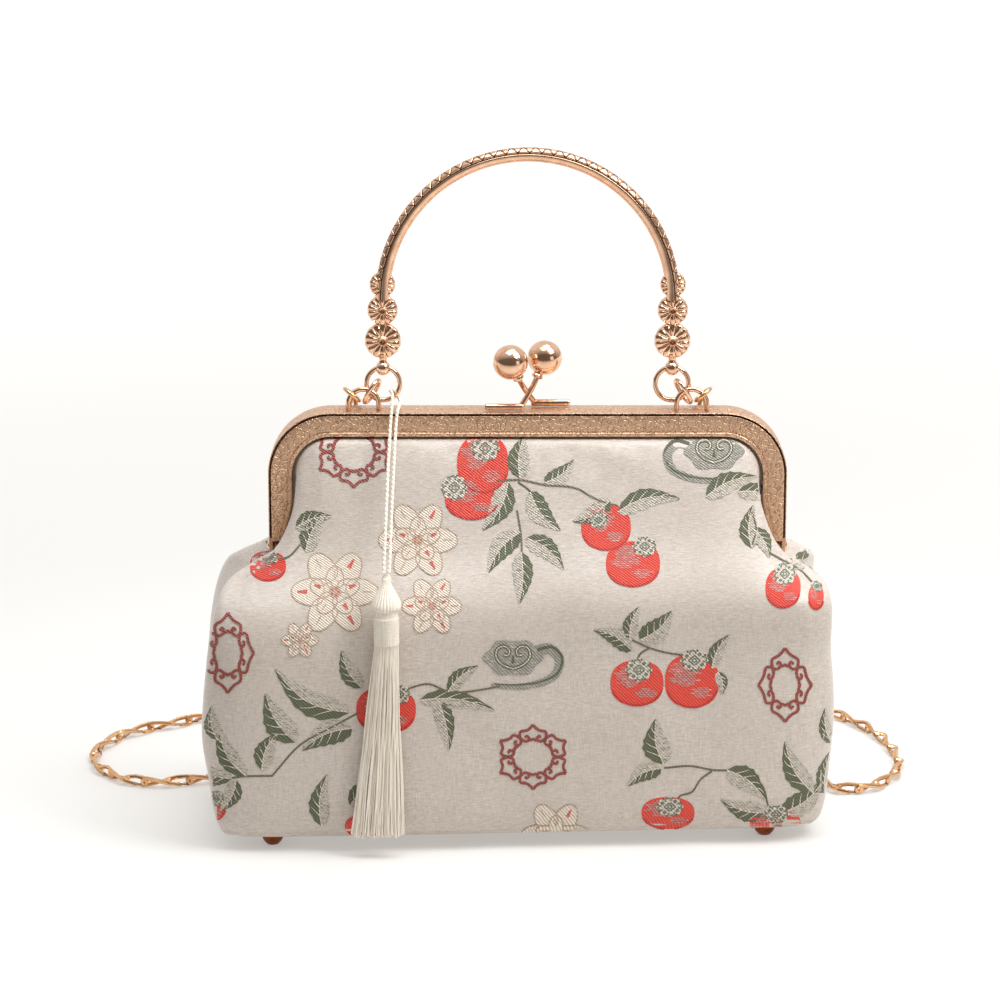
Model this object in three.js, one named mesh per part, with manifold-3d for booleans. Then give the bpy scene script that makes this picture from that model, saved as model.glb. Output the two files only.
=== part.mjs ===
// Embroidered purse with a kiss-lock frame, arched handle, shoulder chain and tassel.
// Millimetres, +Z up, front of the purse towards -Y. Left is -X.
import * as THREE from 'three';
import { mergeVertices } from 'three/addons/utils/BufferGeometryUtils.js';
import Module from 'manifold-3d';

// Driving dimensions: clearances
const GAP = 0.3;
const RUNNING_GAP = 0.3;

// Driving dimensions: metal frame, two leaves that meet at Y = 0
const FRAME_WIDTH = 180;
const FRAME_TOP = 147.5;
const FRAME_LEG_END = 102;
const FRAME_CORNER_RADIUS = 22;
const FRAME_BAND = 8.4;
const FRAME_LEG_END_BAND = 5.2;
const FRAME_TAPER_LENGTH = 14;
const LEAF_DEPTH = 6.85;
const LEAF_WALL = 1;
const LEG_STEPS = 3;
const CORNER_STEPS = 5;

// Driving dimensions: hinge at each leg's end
const HINGE_Z = 98.6;
const LUG_RADIUS = 3;
const LUG_THICKNESS = 1.3;
const LUG_OVERLAP = 1;
const LUG_NECK_Y = 1.3;
const LUG_ARC_END = -144;
const BORE_SIDES = 12;
const RIVET_SIDES = 8;
const RIVET_HEAD_SIDES = 10;
const RIVET_RADIUS = 1.1;
const RIVET_HEAD_RADIUS = 2;
const RIVET_HEAD_HEIGHT = 0.8;

// Driving dimensions: soft bag
const CLOTH = 2;
const CLOTH_EDGE_INSET = 2.2;
const CLOTH_END_SETBACK = 2;
const CLOTH_EXIT_DROP = 0.3;
const CLOTH_WRAP_DROP = 1.6;
const CLOTH_WRAP_FRONT = 1;
const HINGE_CLEARANCE = 1.1;
const HINGE_EXIT_DROP = 1.5;
const HINGE_WRAP_DROP = 2.6;
const HINGE_WRAP_INSET = 0.3;
const SETTLE_HEIGHT = 37;
const BAG_BOTTOM = 5;
const BAG_SHIFT = -4.3;
const BAG_TWIST = 3.4;
const SHOULDER_HALF_WIDTH = 107;
const SHOULDER_HALF_DEPTH = 36;
const BELLY_HALF_WIDTH = 110.5;
const BELLY_HALF_DEPTH = 40;
const BASE_HALF_WIDTH = 104;
const BASE_HALF_DEPTH = 38;
const BASE_ROLL_HEIGHT = 4.5;
const BASE_ROLL_DEPTH = 2.5;
const SHOULDER_SIDE_RISE = 3;
const GUSSET_FOLD = 9;
const YOKE_SPREAD = 0.8;
const YOKE_DEPTH = 0.5;
const YOKE_DROP = 0.58;
const YOKE_PUFF = 1.6;
const FRONT_COLUMNS = 11;
const SIDE_COLUMNS = 4;

// Driving dimensions: feet
const FOOT_HEIGHT = BAG_BOTTOM - GAP;
const FOOT_RADIUS = 4;
const FOOT_FLAT_RADIUS = 2.2;
const FOOT_INSET_X = 18;
const FOOT_INSET_Y = 11;

// Driving dimensions: ball clasp
const CLASP_BALL_RADIUS = 6.05;
const CLASP_BALL_HEIGHT = 17.3;
const CLASP_BALL_X = 5.95;
const CLASP_BALL_Y = 4.05;
const CLASP_ROD_RADIUS = 1.2;
const CLASP_ROD_LENGTH = 13.5;
const CLASP_ROD_START = 1.3;
const CLASP_ROD_Y = 3.7;
const CLASP_STEM_RADIUS = 1;
const CLASP_STEM_BOW = 0.7;
const CLASP_STEM_BOW_SHARE = 0.4;
const CLASP_COLLAR_RADIUS = 2.3;
const CLASP_COLLAR_LENGTH = 2;

// Driving dimensions: handle with rosettes, and the ring in each end ball
const HANDLE_HALF_SPAN = 50;
const HANDLE_TUBE_RADIUS = 2.5;
const HANDLE_BALL_RADIUS = 2.6;
const HANDLE_NECK_RADIUS = 1.5;
const HANDLE_NECK_LENGTH = 0.8;
const HANDLE_ARC_STEP = 7.5;
const HANDLE_STRAIGHT = 24.2;
const ROSETTE_RADII = [6.3, 5.3, 4.5];
const ROSETTE_OVERLAP = 0.9;
const ROSETTE_DEPTH = 4.4;
const ROSETTE_PETALS = 10;
const ROSETTE_PETAL_DEPTH = 0.5;
const RING_RADIUS = 5.8;
const RING_WIRE_RADIUS = 0.85;
const RING_FLOOR_GAP = 2.35;
const RING_SAG = 0.31;

// Driving dimensions: ear on the frame, oval link and the chain's end ring, placed from the handle's ring
const EAR_OFFSET_X = 6.8;
const EAR_Y = -2.45;
const EAR_RADIUS = 5.3;
const EAR_WIRE_RADIUS = 0.9;
const EAR_SPRING = 2.2;
const LINK_OFFSET = new THREE.Vector3(3.85, -1.17, 6.5);
const LINK_YAW = 69;
const LINK_TILT = 30;
const LINK_HALF_WIDTH = 3.5;
const LINK_HALF_LENGTH = 4.6;
const LINK_WIRE_RADIUS = 0.75;
const CHAIN_END_ANGLE = 40;
const CHAIN_END_HALF_WIDTH = 3.2;
const CHAIN_END_HALF_LENGTH = 6.9;
const CHAIN_END_WIRE_RADIUS = 0.7;
const CHAIN_END_DROOP = 12;
const LINK_STEPS = 16;
const WIRE_SIDES = 6;

// Driving dimensions: shoulder chain, laid on the table behind the purse
const CHAIN_RADIUS = 2.25;
const CHAIN_SIDES = 8;
const CHAIN_HALF_STEPS = 40;
const CHAIN_MIDDLE_POINT = 27;
const CHAIN_ROUTE = [
  [-60.9, 11.2, 150.4], [-61.3, 13.6, 146.5], [-62, 15.6, 138], [-63, 20.2, 124],
  [-64.5, 30.2, 107], [-66, 38.6, 92], [-67.5, 42, 74], [-68.5, 42.4, 54],
  [-69.5, 42.4, 34], [-70.5, 43, 15], [-76, 45, 4.6], [-87, 45.5, 2.4],
  [-100, 42.5, 2.3], [-113, 36, 2.3], [-126, 30.5, 2.3], [-140, 29.5, 2.3],
  [-151, 37, 2.3], [-159, 50, 2.3], [-161, 65, 2.3], [-156, 82, 2.3],
  [-147, 94, 2.3], [-136, 101, 2.3], [-122, 112, 2.3], [-105, 131, 2.3],
  [-80, 150, 2.3], [-50, 163.5, 2.3], [-20, 169.4, 2.3], [0, 169.5, 2.3],
  [20, 169.4, 2.3], [50, 164.5, 2.3], [80, 153, 2.3], [106, 134, 2.3],
  [120, 115, 2.3], [129, 101, 2.3], [135.5, 84, 2.3], [138.5, 66, 2.3],
  [138.5, 49, 2.3], [133.5, 34, 2.3], [125, 23.5, 2.3], [115.5, 20.5, 2.3],
  [109.5, 29, 2.3], [104.5, 40, 2.3], [97, 48.5, 2.3], [87, 53.5, 2.4],
  [76, 56, 4.6], [68.5, 51.6, 15], [67, 50.2, 34], [66, 50, 54],
  [65, 49, 74], [64, 44, 92], [63.5, 32.8, 107], [62.6, 21.2, 124],
  [61.8, 15.8, 138], [61.3, 13.6, 146.5], [60.9, 11.2, 150.4],
];

// Driving dimensions: tassel and the doubled cord that it hangs from
const TASSEL_X = -48;
const TASSEL_TOP = 99;
const TASSEL_HEAD_RADIUS = 4.6;
const TASSEL_HEAD_LENGTH = 12;
const TASSEL_BAND_RADIUS = 4.3;
const TASSEL_BAND_LENGTH = 9.6;
const TASSEL_KNOT_RADIUS = 1.7;
const TASSEL_FRINGE_LENGTH = 68;
const TASSEL_FRINGE_HALF_WIDTH = 9.6;
const TASSEL_FRINGE_HALF_DEPTH = 3.1;
const TASSEL_SKEW = -3.4;
const TASSEL_LOCKS = 8;
const LOCK_SPREAD = 0.72;
const LOCK_DEPTH_SPREAD = 0.4;
const LOCK_RADIUS = 2.88;
const LOCK_STAGGER = 1.2;
const TASSEL_KNOT_Y = -40.8;
const TASSEL_HEAD_Y = -42;
const TASSEL_BAND_Y = -45.4;
const TASSEL_END_Y = -47.4;
const CORD_RADIUS = 0.55;
const CORD_SIDES = 8;
const CORD_STEPS = 44;
const CORD_ROUTE = [
  [-48.9, -42.2, 99.8], [-48.8, -40.4, 103], [-48.5, -34.6, 112], [-48.2, -28, 121.4],
  [-47.9, -21.2, 130.6], [-47.5, -14.6, 139], [-47.2, -10.3, 145], [-46.9, -8.3, 148.8],
  [-46.7, -5.6, 151.5], [-46.8, -2.7, 153.3], [-47.5, 0, 154.1], [-46.5, 2.1, 153.2],
  [-44.8, 1.6, 151.3], [-44.1, -1, 150.4], [-44.3, -4.4, 149.9], [-44.8, -7.5, 148.7],
  [-45.2, -9.6, 145.6], [-45.5, -12.6, 141], [-45.9, -19.2, 132], [-46.3, -26.4, 122.2],
  [-46.6, -33.4, 112.6], [-46.9, -40, 103.4], [-47.1, -42.2, 99.8],
];

// Colours and finishes
function finish(color, roughness, metalness) {
  return new THREE.MeshStandardMaterial({ color, roughness, metalness });
}

const ROSE_GOLD_SATIN = finish(0xc99c7c, 0.4, 1);
const ROSE_GOLD_POLISHED = finish(0xe0b08c, 0.18, 1);
const CHAIN_GOLD = finish(0xd6a06e, 0.25, 1);
const COPPER_FOOT = finish(0x82462a, 0.35, 1);
const BROCADE = finish(0xcfc2b6, 0.6, 0);
const IVORY_THREAD = finish(0xeee6d0, 0.55, 0);

const wasm = await Module();
wasm.setup();

// Turns a geometry's faces outward, judged by its signed volume
function facingOut(geometry) {
  const place = geometry.getAttribute('position');
  const index = geometry.getIndex();
  const [a, b, c] = [new THREE.Vector3(), new THREE.Vector3(), new THREE.Vector3()];
  let volume = 0;
  for (let i = 0; i < index.count; i += 3) {
    a.fromBufferAttribute(place, index.getX(i));
    b.fromBufferAttribute(place, index.getX(i + 1));
    c.fromBufferAttribute(place, index.getX(i + 2));
    volume += a.dot(b.cross(c));
  }
  if (volume < 0) {
    index.array.reverse();
  }
  return geometry;
}

// One closed mesh with shared vertices and nothing but positions
function welded(geometry) {
  const bare = geometry.clone();
  bare.deleteAttribute('normal');
  bare.deleteAttribute('uv');
  return facingOut(mergeVertices(bare, 1e-4));
}

function solidOf(geometry) {
  const mesh = welded(geometry);
  return new wasm.Manifold(new wasm.Mesh({
    numProp: 3,
    vertProperties: new Float32Array(mesh.getAttribute('position').array),
    triVerts: new Uint32Array(mesh.getIndex().array),
  }));
}

function geometryOf(solid) {
  const mesh = solid.getMesh();
  const geometry = new THREE.BufferGeometry();
  geometry.setAttribute('position', new THREE.BufferAttribute(mesh.vertProperties, 3));
  geometry.setIndex(new THREE.BufferAttribute(mesh.triVerts, 1));
  geometry.computeVertexNormals();
  return geometry;
}

function fused(...geometries) {
  return geometryOf(geometries.map(solidOf).reduce((sum, next) => sum.add(next)));
}

function bored(geometry, ...tools) {
  return geometryOf(tools.map(solidOf).reduce((rest, tool) => rest.subtract(tool), solidOf(geometry)));
}

// A closed skin over a row of rings with equal counts: caps are fans, given triangles, or none for a loop
function skin(rings, { loop = false, capFaces = null } = {}) {
  const count = rings[0].length;
  const points = rings.flat();
  const faces = [];
  const spans = loop ? rings.length : rings.length - 1;
  for (let r = 0; r < spans; r += 1) {
    const near = r * count;
    const far = ((r + 1) % rings.length) * count;
    for (let i = 0; i < count; i += 1) {
      const next = (i + 1) % count;
      faces.push(near + i, near + next, far + next, near + i, far + next, far + i);
    }
  }
  if (!loop) {
    for (const [start, flip] of [[0, true], [(rings.length - 1) * count, false]]) {
      const cap = capFaces ?? fanFaces(points, rings[start / count], count);
      for (const face of cap) {
        const [a, b, c] = face.map((k) => (k < count ? start + k : k));
        faces.push(...(flip ? [a, c, b] : [a, b, c]));
      }
    }
  }
  const geometry = new THREE.BufferGeometry().setFromPoints(points);
  geometry.setIndex(faces);
  geometry.computeVertexNormals();
  return facingOut(geometry);
}

// Adds the ring's middle point and gives the fan of faces round it
function fanFaces(points, ring, count) {
  const middle = ring.reduce((sum, p) => sum.add(p), new THREE.Vector3()).divideScalar(count);
  points.push(middle);
  const hub = points.length - 1;
  return ring.map((_, i) => [i, (i + 1) % count, hub]);
}

// A round rod whose radius may change along its curve, share running from 0 to 1
function rod(curve, radiusAt, steps, sides, loop = false) {
  const frames = curve.computeFrenetFrames(steps, loop);
  const rings = [];
  for (let s = 0; s <= (loop ? steps - 1 : steps); s += 1) {
    const share = s / steps;
    const centre = curve.getPointAt(share);
    const ring = [];
    for (let i = 0; i < sides; i += 1) {
      const turn = (2 * Math.PI * i) / sides;
      ring.push(centre.clone()
        .addScaledVector(frames.normals[s], radiusAt(share) * Math.cos(turn))
        .addScaledVector(frames.binormals[s], radiusAt(share) * Math.sin(turn)));
    }
    rings.push(ring);
  }
  return skin(rings, { loop });
}

// A bent oval or round wire loop in the X-Z plane
class OvalCurve extends THREE.Curve {
  constructor(halfWidth, halfLength) {
    super();
    this.radius = halfWidth;
    this.straight = halfLength - halfWidth;
  }

  getPoint(t, target = new THREE.Vector3()) {
    const turn = 2 * Math.PI * t;
    const lift = Math.tanh(8 * Math.sin(turn)) * this.straight;
    return target.set(this.radius * Math.cos(turn), 0, this.radius * Math.sin(turn) + lift);
  }
}

function wireLoop(halfWidth, halfLength, wireRadius, steps, sides) {
  return rod(new OvalCurve(halfWidth, halfLength), () => wireRadius, steps, sides, true);
}

function cylinderAlongX(radius, fromX, toX, sides) {
  const geometry = new THREE.CylinderGeometry(radius, radius, toX - fromX, sides);
  geometry.rotateZ(Math.PI / 2);
  geometry.translate((fromX + toX) / 2, 0, 0);
  return geometry;
}

function mirrored(geometry) {
  return facingOut(welded(geometry).scale(-1, 1, 1));
}

function piece(name, geometry, material) {
  const mesh = new THREE.Mesh(geometry, material);
  mesh.name = name;
  return mesh;
}

// The frame's outer edge as an arch: arc length runs from the top's middle to the right leg's end
const HALF_WIDTH = FRAME_WIDTH / 2;
const TOP_RUN = HALF_WIDTH - FRAME_CORNER_RADIUS;
const CORNER_RUN = (FRAME_CORNER_RADIUS * Math.PI) / 2;
const LEG_RUN = FRAME_TOP - FRAME_CORNER_RADIUS - FRAME_LEG_END;
const ARCH_RUN = TOP_RUN + CORNER_RUN + LEG_RUN;

function archPoint(run, inset) {
  if (run <= TOP_RUN) {
    return new THREE.Vector2(run, FRAME_TOP - inset);
  }
  const turn = Math.min((run - TOP_RUN) / FRAME_CORNER_RADIUS, Math.PI / 2);
  const radius = FRAME_CORNER_RADIUS - inset;
  const leg = Math.max(run - TOP_RUN - CORNER_RUN, 0);
  return new THREE.Vector2(
    TOP_RUN + radius * Math.sin(turn),
    FRAME_TOP - FRAME_CORNER_RADIUS + radius * Math.cos(turn) - leg,
  );
}

function bandAt(run) {
  const fromEnd = Math.min((ARCH_RUN - run) / FRAME_TAPER_LENGTH, 1);
  return THREE.MathUtils.lerp(FRAME_LEG_END_BAND, FRAME_BAND, fromEnd);
}

// One leaf: a U channel bent along the arch, open towards the cloth, with a hinge lug on each leg
function leafSection(run, sign, side) {
  const band = bandAt(run);
  const near = sign * (GAP / 2);
  const far = sign * (GAP / 2 + LEAF_DEPTH);
  const nearWall = near + sign * LEAF_WALL;
  const farWall = far - sign * LEAF_WALL;
  const corners = [
    [0, near], [band, near], [band, nearWall], [LEAF_WALL, nearWall],
    [LEAF_WALL, farWall], [band, farWall], [band, far], [0, far],
  ];
  return corners.map(([inset, y]) => {
    const at = archPoint(run, inset);
    return new THREE.Vector3(side * at.x, y, at.y);
  });
}

function archStations() {
  const runs = [0];
  for (let i = 0; i <= CORNER_STEPS; i += 1) {
    runs.push(TOP_RUN + (CORNER_RUN * i) / CORNER_STEPS);
  }
  for (let i = 1; i <= LEG_STEPS; i += 1) {
    runs.push(TOP_RUN + CORNER_RUN + (LEG_RUN * i) / LEG_STEPS);
  }
  return runs;
}

function hingeLug(sign, outerX) {
  const neck = LUG_NECK_Y;
  const neckAngle = Math.acos(neck / LUG_RADIUS);
  const neckTop = FRAME_LEG_END + LUG_OVERLAP;
  const shape = new THREE.Shape();
  const outerY = GAP / 2 + LEAF_DEPTH;
  shape.moveTo(-outerY, neckTop);
  shape.lineTo(-neck, neckTop);
  shape.lineTo(-neck, HINGE_Z + LUG_RADIUS * Math.sin(neckAngle));
  shape.absarc(0, HINGE_Z, LUG_RADIUS, Math.PI - neckAngle, THREE.MathUtils.degToRad(LUG_ARC_END), true);
  shape.lineTo(-outerY, FRAME_LEG_END);
  const sweep = { depth: LUG_THICKNESS, bevelEnabled: false, curveSegments: 8 };
  const plate = new THREE.ExtrudeGeometry(shape, sweep);
  plate.applyMatrix4(new THREE.Matrix4().makeBasis(
    new THREE.Vector3(0, -sign, 0), new THREE.Vector3(0, 0, 1), new THREE.Vector3(-1, 0, 0),
  ));
  plate.translate(outerX, 0, 0);
  return plate;
}

function frameLeaf(sign) {
  const runs = archStations();
  const left = runs.slice().reverse().map((run) => leafSection(run, sign, -1));
  const right = runs.slice(1).map((run) => leafSection(run, sign, 1));
  const outline = leafSection(0, sign, 1).map((p) => new THREE.Vector2(p.y, p.z));
  const capFaces = THREE.ShapeUtils.triangulateShape(outline, []);
  if (THREE.ShapeUtils.isClockWise(outline)) {
    capFaces.forEach((face) => face.reverse());
  }
  const channel = skin([...left, ...right], { capFaces });
  const lugOuterX = HALF_WIDTH - (sign > 0 ? LUG_THICKNESS + RUNNING_GAP : 0);
  const lug = hingeLug(sign, lugOuterX);
  const hole = cylinderAlongX(RIVET_RADIUS + RUNNING_GAP, -FRAME_WIDTH, FRAME_WIDTH, BORE_SIDES);
  hole.translate(0, 0, HINGE_Z);
  return bored(fused(channel, lug, mirrored(lug)), hole);
}

function hingeRivet() {
  const inner = HALF_WIDTH - 2 * LUG_THICKNESS - 2 * RUNNING_GAP;
  const outer = HALF_WIDTH + RUNNING_GAP;
  const reach = RIVET_HEAD_HEIGHT / 2;
  const shank = cylinderAlongX(RIVET_RADIUS, inner - reach, outer + reach, RIVET_SIDES);
  const innerHead = cylinderAlongX(RIVET_HEAD_RADIUS, inner - RIVET_HEAD_HEIGHT, inner, RIVET_HEAD_SIDES);
  const outerHead = cylinderAlongX(RIVET_HEAD_RADIUS, outer, outer + RIVET_HEAD_HEIGHT, RIVET_HEAD_SIDES);
  return fused(shank, innerHead, outerHead);
}

// Soft bag: rows of points from the cloth's edge inside the frame down to the middle of the base.
// A column's place is a share: 0 at the front's middle, 1 at the corner, 2 at the side's middle.
const LEAF_MIDDLE = GAP / 2 + LEAF_DEPTH / 2;
const CLOTH_EDGE_Y = LEAF_MIDDLE + CLOTH / 2;
const EDGE_RUN = ARCH_RUN - CLOTH_END_SETBACK;
const HINGE_CLEAR_X = HALF_WIDTH - 2 * (LUG_THICKNESS + RUNNING_GAP) - RIVET_HEAD_HEIGHT - HINGE_CLEARANCE;

function edgePoint(share, inset, y, hingeX, hingeZ) {
  if (share <= 1) {
    const run = EDGE_RUN * share;
    const narrowed = (inset * bandAt(run)) / FRAME_BAND + CLOTH_WRAP_FRONT;
    const at = archPoint(run, Math.min(inset, narrowed));
    return new THREE.Vector3(at.x, -y, at.y);
  }
  const last = edgePoint(1, inset, y, hingeX, hingeZ);
  const across = share - 1;
  return new THREE.Vector3(
    THREE.MathUtils.lerp(last.x, hingeX, Math.sin((across * Math.PI) / 2)),
    -y * (1 - across),
    THREE.MathUtils.lerp(last.z, hingeZ, across),
  );
}

// Where the cloth has come round the leaf's front wall
function mouthPoint(share) {
  const front = GAP / 2 + LEAF_DEPTH + CLOTH_WRAP_FRONT;
  const hingeX = HINGE_CLEAR_X - HINGE_WRAP_INSET;
  const hingeZ = HINGE_Z - LUG_RADIUS - HINGE_WRAP_DROP;
  return edgePoint(share, FRAME_BAND + CLOTH_WRAP_DROP, front, hingeX, hingeZ);
}

// Plan of one level: a rounded rectangle whose side is folded in by the gusset
function levelPoint(share, level) {
  const { halfWidth, halfDepth, squareness, z, sideZ, fold } = level;
  const cornerX = halfWidth * 2 ** (-1 / squareness);
  const cornerY = halfDepth * 2 ** (-1 / squareness);
  const along = Math.min(share, 1);
  const across = Math.max(share - 1, 0);
  const height = THREE.MathUtils.lerp(z, sideZ, across);
  if (share <= 1) {
    const x = cornerX * along;
    const y = -halfDepth * (1 - (x / halfWidth) ** squareness) ** (1 / squareness);
    return new THREE.Vector3(x, y, height);
  }
  const y = cornerY * (1 - across);
  const x = halfWidth * (1 - (y / halfDepth) ** squareness) ** (1 / squareness);
  return new THREE.Vector3(x - fold * Math.sin((across * Math.PI) / 2) ** 2, -y, height);
}

// Levels from the shoulder down; z and sideZ are the front's and the side's heights
const SHOULDER_Z = BAG_BOTTOM + 0.56 * (FRAME_TOP - BAG_BOTTOM);
const BELLY_Z = BAG_BOTTOM + 0.25 * (FRAME_TOP - BAG_BOTTOM);
const LEVELS = [
  {
    halfWidth: SHOULDER_HALF_WIDTH, halfDepth: SHOULDER_HALF_DEPTH, squareness: 10,
    z: SHOULDER_Z, sideZ: SHOULDER_Z + SHOULDER_SIDE_RISE, fold: GUSSET_FOLD, steps: 2,
  },
  {
    halfWidth: THREE.MathUtils.lerp(SHOULDER_HALF_WIDTH, BELLY_HALF_WIDTH, 0.6),
    halfDepth: THREE.MathUtils.lerp(SHOULDER_HALF_DEPTH, BELLY_HALF_DEPTH, 0.65), squareness: 9,
    z: THREE.MathUtils.lerp(SHOULDER_Z, BELLY_Z, 0.45),
    sideZ: THREE.MathUtils.lerp(SHOULDER_Z, BELLY_Z, 0.4),
    fold: 0.55 * GUSSET_FOLD, steps: 1,
  },
  {
    halfWidth: BELLY_HALF_WIDTH, halfDepth: BELLY_HALF_DEPTH, squareness: 8,
    z: BELLY_Z, sideZ: BELLY_Z, fold: 0.2 * GUSSET_FOLD, steps: 2,
  },
  {
    halfWidth: THREE.MathUtils.lerp(BASE_HALF_WIDTH, BELLY_HALF_WIDTH, 0.34),
    halfDepth: THREE.MathUtils.lerp(BASE_HALF_DEPTH, BELLY_HALF_DEPTH, 0.4), squareness: 11,
    z: BAG_BOTTOM + BASE_ROLL_HEIGHT, sideZ: BAG_BOTTOM + BASE_ROLL_HEIGHT, fold: 0, steps: 2,
  },
  {
    halfWidth: BASE_HALF_WIDTH, halfDepth: BASE_HALF_DEPTH - BASE_ROLL_DEPTH, squareness: 12,
    z: BAG_BOTTOM, sideZ: BAG_BOTTOM, fold: 0, steps: 1,
  },
];

// The slope between frame and shoulder, where the cloth comes out of the channel and spreads
function yokePoint(share) {
  const top = mouthPoint(share);
  const bottom = levelPoint(share, LEVELS[0]);
  return new THREE.Vector3(
    THREE.MathUtils.lerp(top.x, bottom.x, YOKE_SPREAD),
    THREE.MathUtils.lerp(top.y, bottom.y, YOKE_DEPTH) - YOKE_PUFF * Math.max(1 - share, 0) ** 0.5,
    THREE.MathUtils.lerp(top.z, bottom.z, YOKE_DROP),
  );
}

const QUARTER = FRONT_COLUMNS + SIDE_COLUMNS;

function columnShare(column) {
  return column <= FRONT_COLUMNS ? column / FRONT_COLUMNS : 1 + (column - FRONT_COLUMNS) / SIDE_COLUMNS;
}

// Key points of one column, outermost cloth surface, in the front right quarter
function columnKeys(share) {
  const exitInset = FRAME_BAND + CLOTH_EXIT_DROP;
  const exitZ = HINGE_Z - HINGE_EXIT_DROP;
  return [
    { point: edgePoint(share, CLOTH_EDGE_INSET, CLOTH_EDGE_Y, HINGE_CLEAR_X, HINGE_Z), steps: 1 },
    { point: edgePoint(share, exitInset, CLOTH_EDGE_Y, HINGE_CLEAR_X, exitZ), steps: 1 },
    { point: mouthPoint(share), steps: 2 },
    { point: yokePoint(share), steps: 2 },
    ...LEVELS.map((level) => ({ point: levelPoint(share, level), steps: level.steps })),
  ];
}

// The lower bag stands a little to one side of the frame and turned under it
function settled(point) {
  const sink = THREE.MathUtils.smoothstep(FRAME_LEG_END - point.z, 0, SETTLE_HEIGHT);
  const turn = THREE.MathUtils.degToRad(BAG_TWIST * sink);
  const turned = point.clone().applyAxisAngle(new THREE.Vector3(0, 0, 1), turn);
  turned.x += BAG_SHIFT * sink;
  return turned;
}

function columnPoints(share) {
  const keys = columnKeys(share);
  const curve = new THREE.CatmullRomCurve3(keys.map((key) => key.point), false, 'centripetal');
  const points = [];
  keys.forEach((key, k) => {
    const steps = k < keys.length - 1 ? key.steps : 1;
    for (let s = 0; s < steps; s += 1) {
      points.push(curve.getPoint((k + s / steps) / (keys.length - 1)));
    }
  });
  return points;
}

function bagRows() {
  const quarter = [];
  for (let column = 0; column <= QUARTER; column += 1) {
    quarter.push(columnPoints(columnShare(column)));
  }
  const round = [];
  for (let k = 0; k < 4 * QUARTER; k += 1) {
    const lap = Math.floor(k / QUARTER);
    const within = k % QUARTER;
    const column = lap % 2 === 0 ? within : QUARTER - within;
    const flipX = lap === 2 || lap === 3 ? -1 : 1;
    const flipY = lap === 1 || lap === 2 ? -1 : 1;
    round.push(quarter[column].map((p) => settled(new THREE.Vector3(flipX * p.x, flipY * p.y, p.z))));
  }
  return quarter[0].map((_, row) => round.map((column) => column[row]));
}

// Moves each point of the rows inward along the surface's normal
function offsetRows(rows, distance) {
  const count = rows[0].length;
  return rows.map((row, r) => row.map((point, i) => {
    const up = rows[Math.max(r - 1, 0)][i];
    const down = rows[Math.min(r + 1, rows.length - 1)][i];
    const before = row[(i + count - 1) % count];
    const after = row[(i + 1) % count];
    const normal = after.clone().sub(before).cross(up.clone().sub(down)).normalize();
    return point.clone().addScaledVector(normal, -distance);
  }));
}

function bagBody() {
  const outer = bagRows();
  const inner = offsetRows(outer, CLOTH);
  return skin([...outer.slice().reverse(), ...inner]);
}

// A domed metal foot with a flat underside
function foot() {
  const profile = [
    [0, 0], [FOOT_FLAT_RADIUS, 0], [0.86 * FOOT_RADIUS, 0.3 * FOOT_HEIGHT],
    [FOOT_RADIUS, 0.85 * FOOT_HEIGHT], [FOOT_RADIUS, FOOT_HEIGHT], [0, FOOT_HEIGHT],
  ];
  const geometry = new THREE.LatheGeometry(profile.map(([r, z]) => new THREE.Vector2(r, z)), 10);
  return welded(geometry.rotateX(Math.PI / 2));
}

// One clasp half on the front leaf: base rod, bowed stem, collar and ball. The back half is its half turn.
function claspHalf() {
  const rodZ = FRAME_TOP + GAP + CLASP_ROD_RADIUS;
  const rodEnd = -CLASP_ROD_START;
  const base = cylinderAlongX(CLASP_ROD_RADIUS, rodEnd - CLASP_ROD_LENGTH, rodEnd, 10);
  base.translate(0, -CLASP_ROD_Y, rodZ);
  const foot = new THREE.Vector3(rodEnd - CLASP_ROD_RADIUS, -CLASP_ROD_Y, rodZ);
  const ball = new THREE.Vector3(CLASP_BALL_X, CLASP_BALL_Y, FRAME_TOP + CLASP_BALL_HEIGHT);
  const bow = new THREE.Vector3(CLASP_STEM_BOW, -CLASP_STEM_BOW, 0);
  const middle = foot.clone().lerp(ball, CLASP_STEM_BOW_SHARE).add(bow);
  const collarShare = 1 - (CLASP_BALL_RADIUS + CLASP_COLLAR_LENGTH) / foot.distanceTo(ball);
  const radiusAt = (share) => (share < collarShare ? CLASP_STEM_RADIUS : CLASP_COLLAR_RADIUS);
  const stem = rod(new THREE.CatmullRomCurve3([foot, middle, ball]), radiusAt, 8, 8);
  const sphere = new THREE.SphereGeometry(CLASP_BALL_RADIUS, 12, 8);
  sphere.rotateX(Math.PI / 2);
  sphere.translate(ball.x, ball.y, ball.z);
  return fused(base, stem, sphere);
}

// The handle's ring and axis heights follow from the frame's top
const RING_Z = FRAME_TOP + RING_FLOOR_GAP + RING_WIRE_RADIUS + RING_RADIUS;
const AXIS_Z = RING_Z + RING_RADIUS - RING_SAG;
const RING_BORE = RING_WIRE_RADIUS + RING_SAG + GAP;

// A scalloped rosette standing in the handle's plane, facing front and back
function rosette(radius, z) {
  const layers = [[-0.5, 0.7], [0, 1], [0.5, 0.7]];
  const rings = layers.map(([share, size]) => {
    const ring = [];
    for (let i = 0; i < 2 * ROSETTE_PETALS; i += 1) {
      const turn = (Math.PI * i) / ROSETTE_PETALS;
      const reach = (i % 2 === 0 ? radius : radius - ROSETTE_PETAL_DEPTH) * size;
      ring.push(new THREE.Vector3(reach * Math.cos(turn), share * ROSETTE_DEPTH, reach * Math.sin(turn)));
    }
    return ring;
  });
  return skin(rings).translate(HANDLE_HALF_SPAN, 0, z);
}

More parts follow.
